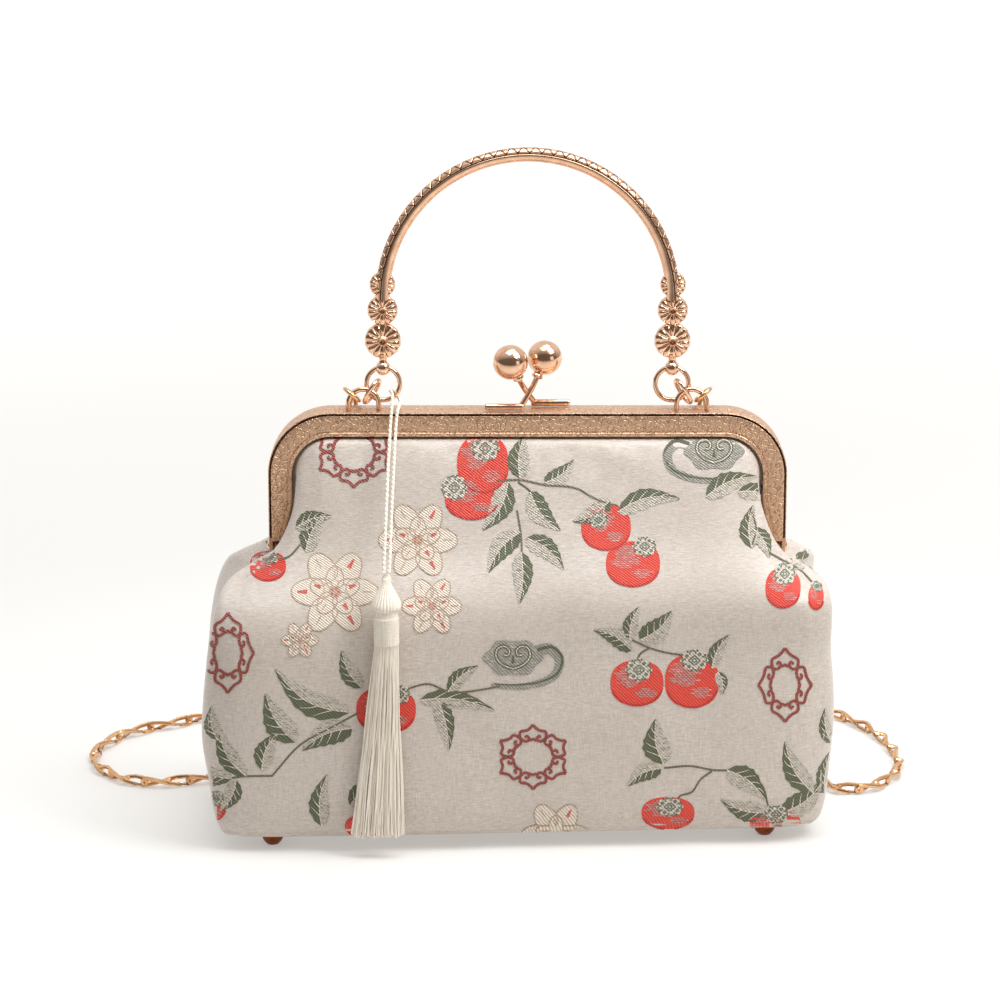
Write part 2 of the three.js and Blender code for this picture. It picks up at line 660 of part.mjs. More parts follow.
function rosetteHeights() {
  let z = AXIS_Z + HANDLE_BALL_RADIUS + HANDLE_NECK_LENGTH;
  return ROSETTE_RADII.map((radius) => {
    const centre = z + radius;
    z += 2 * radius - ROSETTE_OVERLAP;
    return centre;
  });
}

function handleSide() {
  const ball = new THREE.SphereGeometry(HANDLE_BALL_RADIUS, 12, 6);
  ball.rotateZ(Math.PI / 2);
  ball.translate(HANDLE_HALF_SPAN, 0, AXIS_Z);
  const heights = rosetteHeights();
  const neck = new THREE.CylinderGeometry(HANDLE_NECK_RADIUS, HANDLE_NECK_RADIUS, heights[0] - AXIS_Z, 8);
  neck.rotateX(Math.PI / 2);
  neck.translate(HANDLE_HALF_SPAN, 0, (heights[0] + AXIS_Z) / 2);
  return [ball, neck, ...ROSETTE_RADII.map((radius, i) => rosette(radius, heights[i]))];
}

function handle() {
  const arcZ = AXIS_Z + HANDLE_STRAIGHT;
  const points = [];
  for (let turn = 0; turn <= 180; turn += HANDLE_ARC_STEP) {
    const angle = THREE.MathUtils.degToRad(turn);
    const rise = HANDLE_HALF_SPAN * Math.sin(angle);
    points.push(new THREE.Vector3(HANDLE_HALF_SPAN * Math.cos(angle), 0, arcZ + rise));
  }
  const arch = rod(new THREE.CatmullRomCurve3(points), () => HANDLE_TUBE_RADIUS, points.length - 1, 10);
  const side = handleSide();
  const bore = cylinderAlongX(RING_BORE, -2 * HANDLE_HALF_SPAN, 2 * HANDLE_HALF_SPAN, BORE_SIDES);
  bore.translate(0, 0, AXIS_Z);
  return bored(fused(arch, ...side, ...side.map(mirrored)), bore);
}

function handleRing() {
  const ring = wireLoop(RING_RADIUS, RING_RADIUS, RING_WIRE_RADIUS, LINK_STEPS, WIRE_SIDES);
  return ring.translate(HANDLE_HALF_SPAN, 0, RING_Z);
}

// An arched staple standing on the front leaf
const EAR_X = HANDLE_HALF_SPAN + EAR_OFFSET_X;
const EAR_Z = FRAME_TOP + EAR_SPRING;

function ear() {
  const points = [new THREE.Vector3(EAR_RADIUS, 0, FRAME_TOP + GAP)];
  for (let turn = 0; turn <= 180; turn += 15) {
    const angle = THREE.MathUtils.degToRad(turn);
    points.push(new THREE.Vector3(EAR_RADIUS * Math.cos(angle), 0, EAR_Z + EAR_RADIUS * Math.sin(angle)));
  }
  points.push(new THREE.Vector3(-EAR_RADIUS, 0, FRAME_TOP + GAP));
  const curve = new THREE.CatmullRomCurve3(points, false, 'centripetal');
  return rod(curve, () => EAR_WIRE_RADIUS, 14, WIRE_SIDES).translate(EAR_X, EAR_Y, 0);
}

// The oval link that joins the ear and the handle's ring
function connectingLink() {
  const link = wireLoop(LINK_HALF_WIDTH, LINK_HALF_LENGTH, LINK_WIRE_RADIUS, LINK_STEPS, WIRE_SIDES);
  link.rotateX(THREE.MathUtils.degToRad(LINK_TILT));
  link.rotateZ(-THREE.MathUtils.degToRad(LINK_YAW));
  return link.translate(HANDLE_HALF_SPAN + LINK_OFFSET.x, LINK_OFFSET.y, FRAME_TOP + LINK_OFFSET.z);
}

// The plain ring that carries the chain: round the ear's outer shoulder and back over the frame
function chainEnd() {
  const link = wireLoop(
    CHAIN_END_HALF_WIDTH, CHAIN_END_HALF_LENGTH, CHAIN_END_WIRE_RADIUS, LINK_STEPS, WIRE_SIDES,
  );
  const angle = THREE.MathUtils.degToRad(CHAIN_END_ANGLE);
  const droop = THREE.MathUtils.degToRad(CHAIN_END_DROOP);
  const across = new THREE.Vector3(Math.cos(angle), 0, Math.sin(angle));
  const lengthways = new THREE.Vector3(0, -Math.cos(droop), Math.sin(droop));
  const tangent = across.clone().cross(lengthways).normalize();
  const wide = lengthways.clone().cross(tangent).normalize();
  link.applyMatrix4(new THREE.Matrix4().makeBasis(wide, tangent.negate(), lengthways));
  const room = EAR_WIRE_RADIUS + CHAIN_END_WIRE_RADIUS + GAP;
  const shoulder = new THREE.Vector3(
    EAR_X + EAR_RADIUS * Math.cos(angle), EAR_Y, EAR_Z + EAR_RADIUS * Math.sin(angle),
  );
  const centre = shoulder.addScaledVector(lengthways, room - CHAIN_END_HALF_LENGTH);
  return link.translate(centre.x, centre.y, centre.z);
}

// A tube of regular section along a list of chosen points
function tube(route, radius, sides, steps) {
  const section = new THREE.Shape();
  for (let i = 0; i < sides; i += 1) {
    const turn = (2 * Math.PI * (i + 0.5)) / sides;
    section[i === 0 ? 'moveTo' : 'lineTo'](radius * Math.cos(turn), radius * Math.sin(turn));
  }
  const path = new THREE.CatmullRomCurve3(route.map((p) => new THREE.Vector3(...p)), false, 'centripetal');
  return welded(new THREE.ExtrudeGeometry(section, { steps, extrudePath: path, bevelEnabled: false }));
}

// Half of the shoulder chain: the halves meet at the route's middle point, a small gap apart
function chainHalf(side) {
  const [x, y, z] = CHAIN_ROUTE[CHAIN_MIDDLE_POINT];
  const meeting = [x + (side * GAP) / 2, y, z];
  const route = side < 0
    ? [...CHAIN_ROUTE.slice(0, CHAIN_MIDDLE_POINT), meeting]
    : [meeting, ...CHAIN_ROUTE.slice(CHAIN_MIDDLE_POINT + 1)];
  return tube(route, CHAIN_RADIUS, CHAIN_SIDES, CHAIN_HALF_STEPS);
}

// Tassel: knot, head, wrapped band and overlapping locks round a core, fused
function tasselLock(x, y, topZ, endZ) {
  const swellZ = THREE.MathUtils.lerp(topZ, endZ, 0.3);
  const lowZ = THREE.MathUtils.lerp(topZ, endZ, 0.7);
  const top = new THREE.Vector3(0.3 * x, TASSEL_BAND_Y + 0.45 * y, topZ);
  const swell = new THREE.Vector3(0.72 * x, TASSEL_BAND_Y + 0.75 * y - 0.4, swellZ);
  const low = new THREE.Vector3(0.92 * x + 0.55 * TASSEL_SKEW, TASSEL_END_Y + y, lowZ);
  const end = new THREE.Vector3(x + TASSEL_SKEW, TASSEL_END_Y + y, endZ);
  const curve = new THREE.CatmullRomCurve3([top, swell, low, end], false, 'centripetal');
  const radiusAt = (share) => {
    const taper = share === 1 ? 0.75 : 1;
    return taper * THREE.MathUtils.lerp(0.55 * LOCK_RADIUS, LOCK_RADIUS, Math.min(2 * share, 1));
  };
  return rod(curve, radiusAt, 4, 6);
}

function tassel() {
  const headZ = TASSEL_TOP - TASSEL_KNOT_RADIUS;
  const bandZ = headZ - TASSEL_HEAD_LENGTH;
  const fringeZ = bandZ - TASSEL_BAND_LENGTH;
  const endZ = fringeZ - TASSEL_FRINGE_LENGTH;
  const knot = new THREE.SphereGeometry(TASSEL_KNOT_RADIUS, 10, 6);
  knot.translate(0, TASSEL_KNOT_Y, headZ);
  const headPoints = [
    new THREE.Vector3(0, TASSEL_KNOT_Y, headZ),
    new THREE.Vector3(0, TASSEL_HEAD_Y, headZ - 0.4 * TASSEL_HEAD_LENGTH),
    new THREE.Vector3(0, TASSEL_BAND_Y + 1, bandZ),
    new THREE.Vector3(0, TASSEL_BAND_Y, fringeZ),
  ];
  const headShare = TASSEL_HEAD_LENGTH / (TASSEL_HEAD_LENGTH + TASSEL_BAND_LENGTH);
  const radiusAt = (share) => {
    if (share >= headShare) {
      return TASSEL_BAND_RADIUS;
    }
    const swell = Math.sin(Math.PI * THREE.MathUtils.lerp(0.16, 0.82, share / headShare));
    return Math.max(TASSEL_HEAD_RADIUS * swell, TASSEL_KNOT_RADIUS);
  };
  const head = rod(new THREE.CatmullRomCurve3(headPoints), radiusAt, 10, 12);
  const locks = [];
  for (let i = 0; i < TASSEL_LOCKS; i += 1) {
    const turn = (2 * Math.PI * i) / TASSEL_LOCKS;
    const x = TASSEL_FRINGE_HALF_WIDTH * Math.cos(turn) * LOCK_SPREAD;
    const y = TASSEL_FRINGE_HALF_DEPTH * Math.sin(turn) * LOCK_DEPTH_SPREAD;
    locks.push(tasselLock(x, y, fringeZ + 0.3 * TASSEL_BAND_LENGTH, endZ + LOCK_STAGGER * (i % 3)));
  }
  return fused(knot, head, ...locks).translate(TASSEL_X, 0, 0);
}

// Assembly
const purse = new THREE.Group();
purse.name = 'purse';
purse.add(piece('bag_body', bagBody(), BROCADE));
purse.add(piece('frame_front', frameLeaf(-1), ROSE_GOLD_SATIN));
purse.add(piece('frame_back', frameLeaf(1), ROSE_GOLD_SATIN));

const claspFront = claspHalf();
purse.add(piece('clasp_front', claspFront, ROSE_GOLD_POLISHED));
purse.add(piece('clasp_back', claspFront.clone().rotateZ(Math.PI), ROSE_GOLD_POLISHED));
purse.add(piece('handle', handle(), ROSE_GOLD_SATIN));

// Hardware that is mirrored from the right side to the left
const pairs = [
  ['hinge_rivet', hingeRivet().translate(0, 0, HINGE_Z), ROSE_GOLD_POLISHED],
  ['ear', ear(), ROSE_GOLD_POLISHED],
  ['link', connectingLink(), ROSE_GOLD_POLISHED],
  ['handle_ring', handleRing(), ROSE_GOLD_POLISHED],
  ['chain_end', chainEnd(), CHAIN_GOLD],
];
for (const [name, geometry, material] of pairs) {
  purse.add(piece(`${name}_right`, geometry, material));
  purse.add(piece(`${name}_left`, mirrored(geometry), material));
}

// Feet under the base's corners, turned and shifted with it
for (const [row, depthSign] of [['front', -1], ['back', 1]]) {
  for (const [side, widthSign] of [['left', -1], ['right', 1]]) {
    const place = settled(new THREE.Vector3(
      widthSign * (BASE_HALF_WIDTH - FOOT_INSET_X), depthSign * (BASE_HALF_DEPTH - FOOT_INSET_Y), BAG_BOTTOM,
    ));
    const mesh = piece(`foot_${row}_${side}`, foot(), COPPER_FOOT);
    mesh.position.set(place.x, place.y, 0);
    purse.add(mesh);
  }
}

purse.add(piece('chain_left', chainHalf(-1), CHAIN_GOLD));
purse.add(piece('chain_right', chainHalf(1), CHAIN_GOLD));
purse.add(piece('tassel', tassel(), IVORY_THREAD));
purse.add(piece('tassel_cord', tube(CORD_ROUTE, CORD_RADIUS, CORD_SIDES, CORD_STEPS), IVORY_THREAD));

// The origin is the middle of the whole object's footprint, on the surface that it stands on
const bounds = new THREE.Box3().setFromObject(purse);
const middle = bounds.getCenter(new THREE.Vector3());
purse.position.set(-middle.x, -middle.y, -bounds.min.z);

export default purse;
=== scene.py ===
import math
import random

import bpy
import numpy as np
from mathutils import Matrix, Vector, geometry, noise
from mathutils.bvhtree import BVHTree


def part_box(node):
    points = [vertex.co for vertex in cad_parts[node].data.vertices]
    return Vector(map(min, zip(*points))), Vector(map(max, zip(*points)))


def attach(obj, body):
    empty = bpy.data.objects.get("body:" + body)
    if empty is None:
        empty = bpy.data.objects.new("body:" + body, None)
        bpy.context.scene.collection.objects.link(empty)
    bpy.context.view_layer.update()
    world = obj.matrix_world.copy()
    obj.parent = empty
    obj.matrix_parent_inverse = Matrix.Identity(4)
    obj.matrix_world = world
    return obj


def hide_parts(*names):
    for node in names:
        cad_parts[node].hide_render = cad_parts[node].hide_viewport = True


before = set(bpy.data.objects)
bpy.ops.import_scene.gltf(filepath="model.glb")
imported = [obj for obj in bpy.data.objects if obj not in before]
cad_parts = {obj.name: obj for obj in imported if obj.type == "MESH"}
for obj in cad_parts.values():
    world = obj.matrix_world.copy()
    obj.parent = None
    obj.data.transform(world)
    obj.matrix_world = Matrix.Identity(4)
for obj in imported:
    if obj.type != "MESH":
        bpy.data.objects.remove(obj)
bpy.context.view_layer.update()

random.seed(7)

# Lengths are in millimetres from the middle of the metal frame, +Z up and the purse's front towards -Y
MM = 0.001
GAP = 0.3
frame_low, frame_high = (Vector(corner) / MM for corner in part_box("frame_front"))
back_high = Vector(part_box("frame_back")[1]) / MM
FRAME_TOP = frame_high.z
HALF_WIDTH = (frame_high.x - frame_low.x) / 2
ORIGIN = np.array([(frame_low.x + frame_high.x) / 2, (frame_low.y + back_high.y) / 2, 0])

# The metal frame
FRAME_LEG_END = 102
FRAME_CORNER_RADIUS = 22
FRAME_BAND = 8.4
FRAME_LEG_END_BAND = 5.2
FRAME_TAPER_LENGTH = 14
LEAF_DEPTH = 6.85
HINGE_Z = 98.6
LUG_THICKNESS = 1.3
LUG_RADIUS = 3
LUG_SHOULDER = 1.3
RIVET_RADIUS = 1.1
RIVET_HEAD_RADIUS = 2
RIVET_HEAD_HEIGHT = 0.8
GROOVE_PITCH = 1.1

# The soft bag
CLOTH = 2
WALL_THICKNESS = 1.5
CLOTH_EDGE_INSET = 2.2
BAG_BOTTOM = 5
BASE_ROLL = 4.5
SHOULDER_SHARE = 0.56
BELLY_SHARE = 0.25
BAG_SHIFT = -4.3
BAG_TWIST = 3.4
SETTLE_HEIGHT = 37
SHOULDER = (107, 36)
BELLY = (110.5, 40)
BASE = (104, 38)
GUSSET_FOLD = 9
YOKE_SPREAD = 0.8
YOKE_DEPTH = 0.5
YOKE_DROP = 0.58
YOKE_PUFF = 1.6
SLACK_WAVE = 34
SLACK_HEIGHT = 0.9
RUMPLE_WAVE = 13
RUMPLE_HEIGHT = 0.28
PUCKER_WIDTH = 5.2
PUCKER_LENGTH = 30
PUCKER_HEIGHT = 0.55
PUCKER_MIDDLE = 5
PUCKER_REACH = 11
SEAM_DEPTH = 0.45
BASE_SEAM_DEPTH = 0.35
FRONT_COLUMNS = 56
SIDE_COLUMNS = 20
ROW_STEPS = (3, 3, 20, 16, 12, 14, 18, 7)
BASE_SHARES = (0.97, 0.9, 0.75, 0.5, 0.25)

# The handle and its hardware
HANDLE_HALF_SPAN = 50
HANDLE_TUBE_RADIUS = 2.5
HANDLE_BALL_RADIUS = 2.6
HANDLE_NECK_LENGTH = 0.8
HANDLE_STRAIGHT = 24.2
ROSETTE_RADII = (6.3, 5.3, 4.5)
ROSETTE_OVERLAP = 0.9
ROSETTE_DEPTH = 4.4
ROSETTE_PETALS = 14
RING_RADIUS = 5.8
RING_WIRE = 0.85
RING_SAG = 0.31
RING_LIFT = 2.35
RING_Z = FRAME_TOP + RING_LIFT + RING_WIRE + RING_RADIUS
AXIS_Z = RING_Z + RING_RADIUS - RING_SAG
RING_BORE = RING_WIRE + RING_SAG + GAP
EAR_OFFSET_X = 6.8
EAR_X = HANDLE_HALF_SPAN + EAR_OFFSET_X
EAR_Y = -2.45
EAR_RADIUS = 5.3
EAR_WIRE = 0.9
EAR_LIFT = 2.2
EAR_Z = FRAME_TOP + EAR_LIFT
LINK_HALF_WIDTH = 3.5
LINK_HALF_LENGTH = 4.6
LINK_WIRE = 0.75
LINK_TILT = 30
LINK_TURN = -69
LINK_OFFSET = (3.85, -1.17, 6.5)
CHAIN_END_HALF_WIDTH = 3.2
CHAIN_END_HALF_LENGTH = 6.9
CHAIN_END_WIRE = 0.7
CHAIN_END_ANGLE = math.radians(40)
CHAIN_END_DROOP = math.radians(12)

# The camera: the photograph is 1000 pixels square, and one pixel is 0.347 mm at the frame
PHOTO_SIZE = 1000
PIXEL = 0.347
FRAME_PIXEL_X = 527.5
FRAME_PIXEL_Y = 409
CAMERA_ELEVATION = math.radians(13.5)
CAMERA_DISTANCE = 1200
CAMERA_REACH = 50000
SENSOR = 36

# The doubled tassel cord, and the chain's route behind the purse
CORD_DIAMETER = 1.1
CORD_ROUTE = [
    (-48.9, -42.2, 99.8), (-48.8, -40.4, 103), (-48.5, -34.6, 112), (-48.2, -28, 121.4),
    (-47.9, -21.2, 130.6), (-47.5, -14.6, 139), (-47.2, -10.3, 145), (-46.9, -8.3, 148.8),
    (-46.7, -5.6, 151.5), (-46.8, -2.7, 153.3), (-47.5, 0, 154.1), (-46.5, 2.1, 153.2),
    (-44.8, 1.6, 151.3), (-44.1, -1, 150.4), (-44.3, -4.4, 149.9), (-44.8, -7.5, 148.7),
    (-45.2, -9.6, 145.6), (-45.5, -12.6, 141), (-45.9, -19.2, 132), (-46.3, -26.4, 122.2),
    (-46.6, -33.4, 112.6), (-46.9, -40, 103.4), (-47.1, -42.2, 99.8),
]
CHAIN_RADIUS = 2.25
CHAIN_WIRE = 0.8
CHAIN_PITCH = 8.2
CHAIN_TWIST = math.radians(52)
CHAIN_ROUTE = [
    (-60.9, 11.2, 150.4), (-61.3, 13.6, 146.5), (-62, 15.6, 138), (-63, 20.2, 124),
    (-64.5, 30.2, 107), (-66, 38.6, 92), (-67.5, 42, 74), (-68.5, 42.4, 54),
    (-69.5, 42.4, 34), (-70.5, 43, 15), (-76, 45, 4.6), (-87, 45.5, 2.4),
    (-100, 42.5, 2.3), (-113, 36, 2.3), (-126, 30.5, 2.3), (-140, 29.5, 2.3),
    (-151, 37, 2.3), (-159, 50, 2.3), (-161, 65, 2.3), (-156, 82, 2.3),
    (-147, 94, 2.3), (-136, 101, 2.3), (-122, 112, 2.3), (-105, 131, 2.3),
    (-80, 150, 2.3), (-50, 163.5, 2.3), (-20, 169.4, 2.3), (0, 169.5, 2.3),
    (20, 169.4, 2.3), (50, 164.5, 2.3), (80, 153, 2.3), (106, 134, 2.3),
    (120, 115, 2.3), (129, 101, 2.3), (135.5, 84, 2.3), (138.5, 66, 2.3),
    (138.5, 49, 2.3), (133.5, 34, 2.3), (125, 23.5, 2.3), (115.5, 20.5, 2.3),
    (109.5, 29, 2.3), (104.5, 40, 2.3), (97, 48.5, 2.3), (87, 53.5, 2.4),
    (76, 56, 4.6), (68.5, 51.6, 15), (67, 50.2, 34), (66, 50, 54),
    (65, 49, 74), (64, 44, 92), (63.5, 32.8, 107), (62.6, 21.2, 124),
    (61.8, 15.8, 138), (61.3, 13.6, 146.5), (60.9, 11.2, 150.4),
]

# The tassel
TASSEL_X = -48
TASSEL_TOP = 99
TASSEL_KNOT_RADIUS = 1.7
TASSEL_HEAD_LENGTH = 12
TASSEL_FLUTES = 26
TASSEL_BAND_RADIUS = 4.3
TASSEL_BAND_LENGTH = 9.6
TASSEL_WRAPS = 14
TASSEL_FRINGE_LENGTH = 68
TASSEL_END_HALF_WIDTH = 8.9
TASSEL_SKEW = 3.4
TASSEL_KNOT_Y = -40.8
TASSEL_HEAD_Y = -42
TASSEL_BAND_Y = -45.4
TASSEL_END_Y = -47.4
TASSEL_STRANDS = 300
GOLDEN_ANGLE = 2.39996


# Small geometry helpers
def unit(vectors):
    return vectors / np.linalg.norm(vectors, axis=-1, keepdims=True)


def through(keys, shares):
    """Centripetal Catmull-Rom spline through keys, at the given fractions of each span."""
    keys = np.asarray(keys, float)
    padded = np.concatenate([2 * keys[:1] - keys[1:2], keys, 2 * keys[-1:] - keys[-2:-1]])
    rows = []
    for k, fractions in enumerate(shares):
        a, b, c, d = padded[k:k + 4]
        ab, bc, cd = (
            np.sqrt(np.linalg.norm(q - p, axis=-1, keepdims=True)).clip(1e-4)
            for p, q in ((a, b), (b, c), (c, d))
        )
        out = ((b - a) / ab - (c - a) / (ab + bc) + (c - b) / bc) * bc
        into = ((c - b) / bc - (d - b) / (bc + cd) + (d - c) / cd) * bc
        for t in fractions:
            rows.append(b + out * t + (3 * (c - b) - 2 * out - into) * t ** 2
                        + (2 * (b - c) + out + into) * t ** 3)
    return np.array(rows)


def smooth_route(route, steps):
    fractions = [[s / steps for s in range(steps)]] * (len(route) - 1)
    return np.concatenate([through(route, fractions), [route[-1]]])


def resampled(path, count):
    """count points at equal distances along a path."""
    run = np.concatenate([[0], np.cumsum(np.linalg.norm(np.diff(path, axis=0), axis=1))])
    marks = np.linspace(0, run[-1], count)
    return np.stack([np.interp(marks, run, path[:, axis]) for axis in range(3)], axis=1)


def length_of(path):
    return float(np.linalg.norm(np.diff(path, axis=0), axis=1).sum())


def path_frames(path, closed=False):
    """Tangents and two normals that turn as little as they can along the path."""
    if closed:
        tangent = unit(np.roll(path, -1, axis=0) - np.roll(path, 1, axis=0))
    else:
        tangent = unit(np.gradient(path, axis=0))
    aside = np.array([0, 1.0, 0]) if abs(tangent[0][1]) < 0.8 else np.array([1.0, 0, 0])
    normals = [unit(aside - tangent[0] * tangent[0].dot(aside))]
    for along in tangent[1:]:
        normals.append(unit(normals[-1] - along * along.dot(normals[-1])))
    normals = np.array(normals)
    return tangent, normals, np.cross(tangent, normals)


def grid_faces(rows, columns, close_rows=False):
    """Faces between rings of points, each ring closed, and the last joined to the first if asked."""
    faces = []
    for r in range(rows if close_rows else rows - 1):
        near = r * columns
        far = ((r + 1) % rows) * columns
        for c in range(columns):
            after = (c + 1) % columns
            faces.append((near + c, near + after, far + after, far + c))
    return faces


def capped_grid(rows, columns):
    """The faces of a row of rings, closed by a flat face at each end."""
    last = (rows - 1) * columns
    ends = [tuple(reversed(range(columns))), tuple(range(last, last + columns))]
    return grid_faces(rows, columns) + ends


def sweep(path, radius, sides, closed=False):
    """A round tube along a path. The radius is one number or one for each point."""
    path = np.asarray(path, float)
    _, normal, side = path_frames(path, closed)
    turn = np.linspace(0, 2 * math.pi, sides, endpoint=False)
    ring = np.cos(turn)[None, :, None] * normal[:, None] + np.sin(turn)[None, :, None] * side[:, None]
    radii = np.broadcast_to(radius, len(path))
    points = (path[:, None] + ring * radii[:, None, None]).reshape(-1, 3)
    return outward((points, grid_faces(len(path), sides, True) if closed else capped_grid(len(path), sides)))


def fanned(rings, low, high):
    """A closed solid from rings of points, with a fan of faces to a point at each end."""
    sides = len(rings[0])
    points = [p for ring in rings for p in ring] + [low, high]
    faces = grid_faces(len(rings), sides)
    last = (len(rings) - 1) * sides
    for i in range(sides):
        after = (i + 1) % sides
        faces.append((after, i, len(points) - 2))
        faces.append((last + i, last + after, len(points) - 1))
    return outward((points, faces))


def lathe(profile, sides, ripple=None):
    """A solid turned about the Z axis from (radius, height) pairs, first and last on the axis."""
    rings = []
    for radius, height in profile[1:-1]:
        ring = []
        for i in range(sides):
            turn = 2 * math.pi * i / sides
            reach = radius * (ripple(turn, height) if ripple else 1)
            ring.append((*on_oval(reach, reach, turn), height))
        rings.append(ring)
    return fanned(rings, (0, 0, profile[0][1]), (0, 0, profile[-1][1]))


def outward(shape):
    """The closed shape with its faces turned outward, judged by its signed volume."""
    points, faces = np.asarray(shape[0], float), shape[1]
    middle = points.mean(axis=0)
    volume = 0.0
    for face in faces:
        corners = points[list(face)] - middle
        for i in range(1, len(face) - 1):
            volume += np.dot(corners[0], np.cross(corners[i], corners[i + 1]))
    return (points, faces) if volume > 0 else (points, [tuple(reversed(face)) for face in faces])


def joined(*shapes):
    points, faces, start = [], [], 0
    for some_points, some_faces in shapes:
        points.append(np.asarray(some_points, float))
        faces.extend(tuple(start + i for i in face) for face in some_faces)
        start += len(some_points)
    return np.concatenate(points), faces


def on_oval(radius_x, radius_y, turn, centre=(0, 0)):
    return centre[0] + radius_x * math.cos(turn), centre[1] + radius_y * math.sin(turn)


def swung(point, turn, centre=(0, 0)):
    """A flat point turned about the origin and then moved."""
    c, s = math.cos(turn), math.sin(turn)
    return centre[0] + point[0] * c - point[1] * s, centre[1] + point[0] * s + point[1] * c


def moved(shape, x=0, y=0, z=0):
    return shape[0] + np.array([x, y, z]), shape[1]


def remapped(shape, axes):
    """The shape with its X, Y and Z laid along three given directions."""
    return shape[0] @ np.asarray(axes, float), shape[1]


def mirrored(shape):
    return shape[0] * [-1, 1, 1], [tuple(reversed(face)) for face in shape[1]]


def turned(points, degrees, axis):
    """Points turned about a main axis by the right-hand rule."""
    a = math.radians(degrees)
    c, s = math.cos(a), math.sin(a)
    turns = {
        "x": [[1, 0, 0], [0, c, s], [0, -s, c]],
        "y": [[c, 0, -s], [0, 1, 0], [s, 0, c]],
        "z": [[c, s, 0], [-s, c, 0], [0, 0, 1]],
    }
    return points @ np.array(turns[axis])


def add_piece(name, shape, material, nodes=(), body="purse", sharp=40):
    """Makes a mesh object from a shape in millimetres, which rides on a body and may replace CAD nodes."""
    points, faces = shape
    mesh = bpy.data.meshes.new(name)
    mesh.from_pydata(((np.asarray(points) + ORIGIN) * MM).tolist(), [], faces)
    mesh.validate()
    mesh.polygons.foreach_set("use_smooth", [True] * len(mesh.polygons))
    mesh.set_sharp_from_angle(angle=math.radians(sharp))
    mesh.materials.append(material)
    piece = bpy.data.objects.new(name, mesh)
    bpy.context.scene.collection.objects.link(piece)
    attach(piece, body)
    if nodes:
        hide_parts(*nodes)
    return piece


# Material helpers
class Nodes:
    """A node tree to which nodes are added one call at a time."""

    def __init__(self, tree):
        self.tree = tree

    def node(self, kind, inputs=(), **settings):
        made = self.tree.nodes.new("ShaderNode" + kind)
        for key, value in settings.items():
            setattr(made, key, value)
        for key, value in dict(inputs).items():
            self.feed(made.inputs[key], value)
        return made

    def feed(self, socket, value):
        if isinstance(value, bpy.types.NodeSocket):
            self.tree.links.new(value, socket)
        else:
            socket.default_value = value

    def math(self, operation, a, b=0.0, c=0.0):
        return self.node("Math", {0: a, 1: b, 2: c}, operation=operation).outputs[0]

    def plus(self, a, b):
        return self.math("ADD", a, b)

    def minus(self, a, b):
        return self.math("SUBTRACT", a, b)

    def times(self, a, b):
        return self.math("MULTIPLY", a, b)


class Look(Nodes):
    """A material round one shader."""

    def __init__(self, name, **sockets):
        self.material = bpy.data.materials.new(name)
        self.material.use_nodes = True
        super().__init__(self.material.node_tree)
        self.shader = self.tree.nodes["Principled BSDF"]
        for socket, value in sockets.items():
            self.shader.inputs[socket.replace("_", " ")].default_value = value

    def shape(self, socket, value):
        self.feed(self.shader.inputs[socket], value)

    def place(self, scale=(1, 1, 1), turn=(0, 0, 0)):
        """Object coordinates in millimetres, turned and then scaled."""
        where = self.node("TexCoord").outputs["Object"]
        first = self.node("Mapping", {"Vector": where, "Rotation": turn}).outputs[0]
        scales = tuple(s / MM for s in scale)
        return self.node("Mapping", {"Vector": first, "Scale": scales}).outputs[0]

    def axes(self):
        return self.node("SeparateXYZ", {0: self.place()}).outputs

    def noise(self, scale, detail=2, roughness=0.5, turn=(0, 0, 0)):
        """Noise with a number of waves to the millimetre along each axis."""
        where = self.place(scale if isinstance(scale, tuple) else (scale, scale, scale), turn)
        inputs = {"Vector": where, "Scale": 1, "Detail": detail, "Roughness": roughness}
        return self.node("TexNoise", inputs).outputs["Fac"]

    def mix(self, factor, a, b, blend="MIX"):
        made = self.node("Mix", {0: factor, 6: a, 7: b}, data_type="RGBA", blend_type=blend)
        return made.outputs[2]

    def range(self, value, low, high, out_low=0.0, out_high=1.0):
        inputs = {"Value": value, 1: low, 2: high, 3: out_low, 4: out_high}
        return self.node("MapRange", inputs).outputs[0]

    def bump(self, height, depth, strength=1.0, under=None):
        inputs = {"Height": height, "Distance": depth * MM, "Strength": strength}
        if under is not None:
            inputs["Normal"] = under
        return self.node("Bump", inputs).outputs[0]


def srgb(red, green, blue):
    """A linear colour from the 0 to 255 values of a screen."""
    values = [v / 255 for v in (red, green, blue)]
    linear = [v / 12.92 if v <= 0.04045 else ((v + 0.055) / 1.055) ** 2.4 for v in values]
    return (*linear, 1)


# Camera, at the photograph's angle and framing
def add_camera():
    view_up = np.array([0, math.sin(CAMERA_ELEVATION), math.cos(CAMERA_ELEVATION)])
    ahead = np.array([0, math.cos(CAMERA_ELEVATION), -math.sin(CAMERA_ELEVATION)])
    aside = (PHOTO_SIZE / 2 - FRAME_PIXEL_X) * PIXEL
    drop = (PHOTO_SIZE / 2 - FRAME_PIXEL_Y) * PIXEL
    target = np.array([aside, 0, FRAME_TOP]) - drop * view_up
    eye = target - CAMERA_DISTANCE * ahead
    data = bpy.data.cameras.new("camera")
    data.sensor_width = SENSOR
    data.lens = SENSOR * CAMERA_DISTANCE / (PHOTO_SIZE * PIXEL)
    data.clip_end = CAMERA_REACH * MM
    camera = bpy.data.objects.new("camera", data)
    camera.location = (eye + ORIGIN) * MM
    camera.rotation_euler = (math.pi / 2 - CAMERA_ELEVATION, 0, 0)
    bpy.context.scene.collection.objects.link(camera)
    bpy.context.scene.camera = camera
    return eye, view_up


camera_eye, camera_up = add_camera()


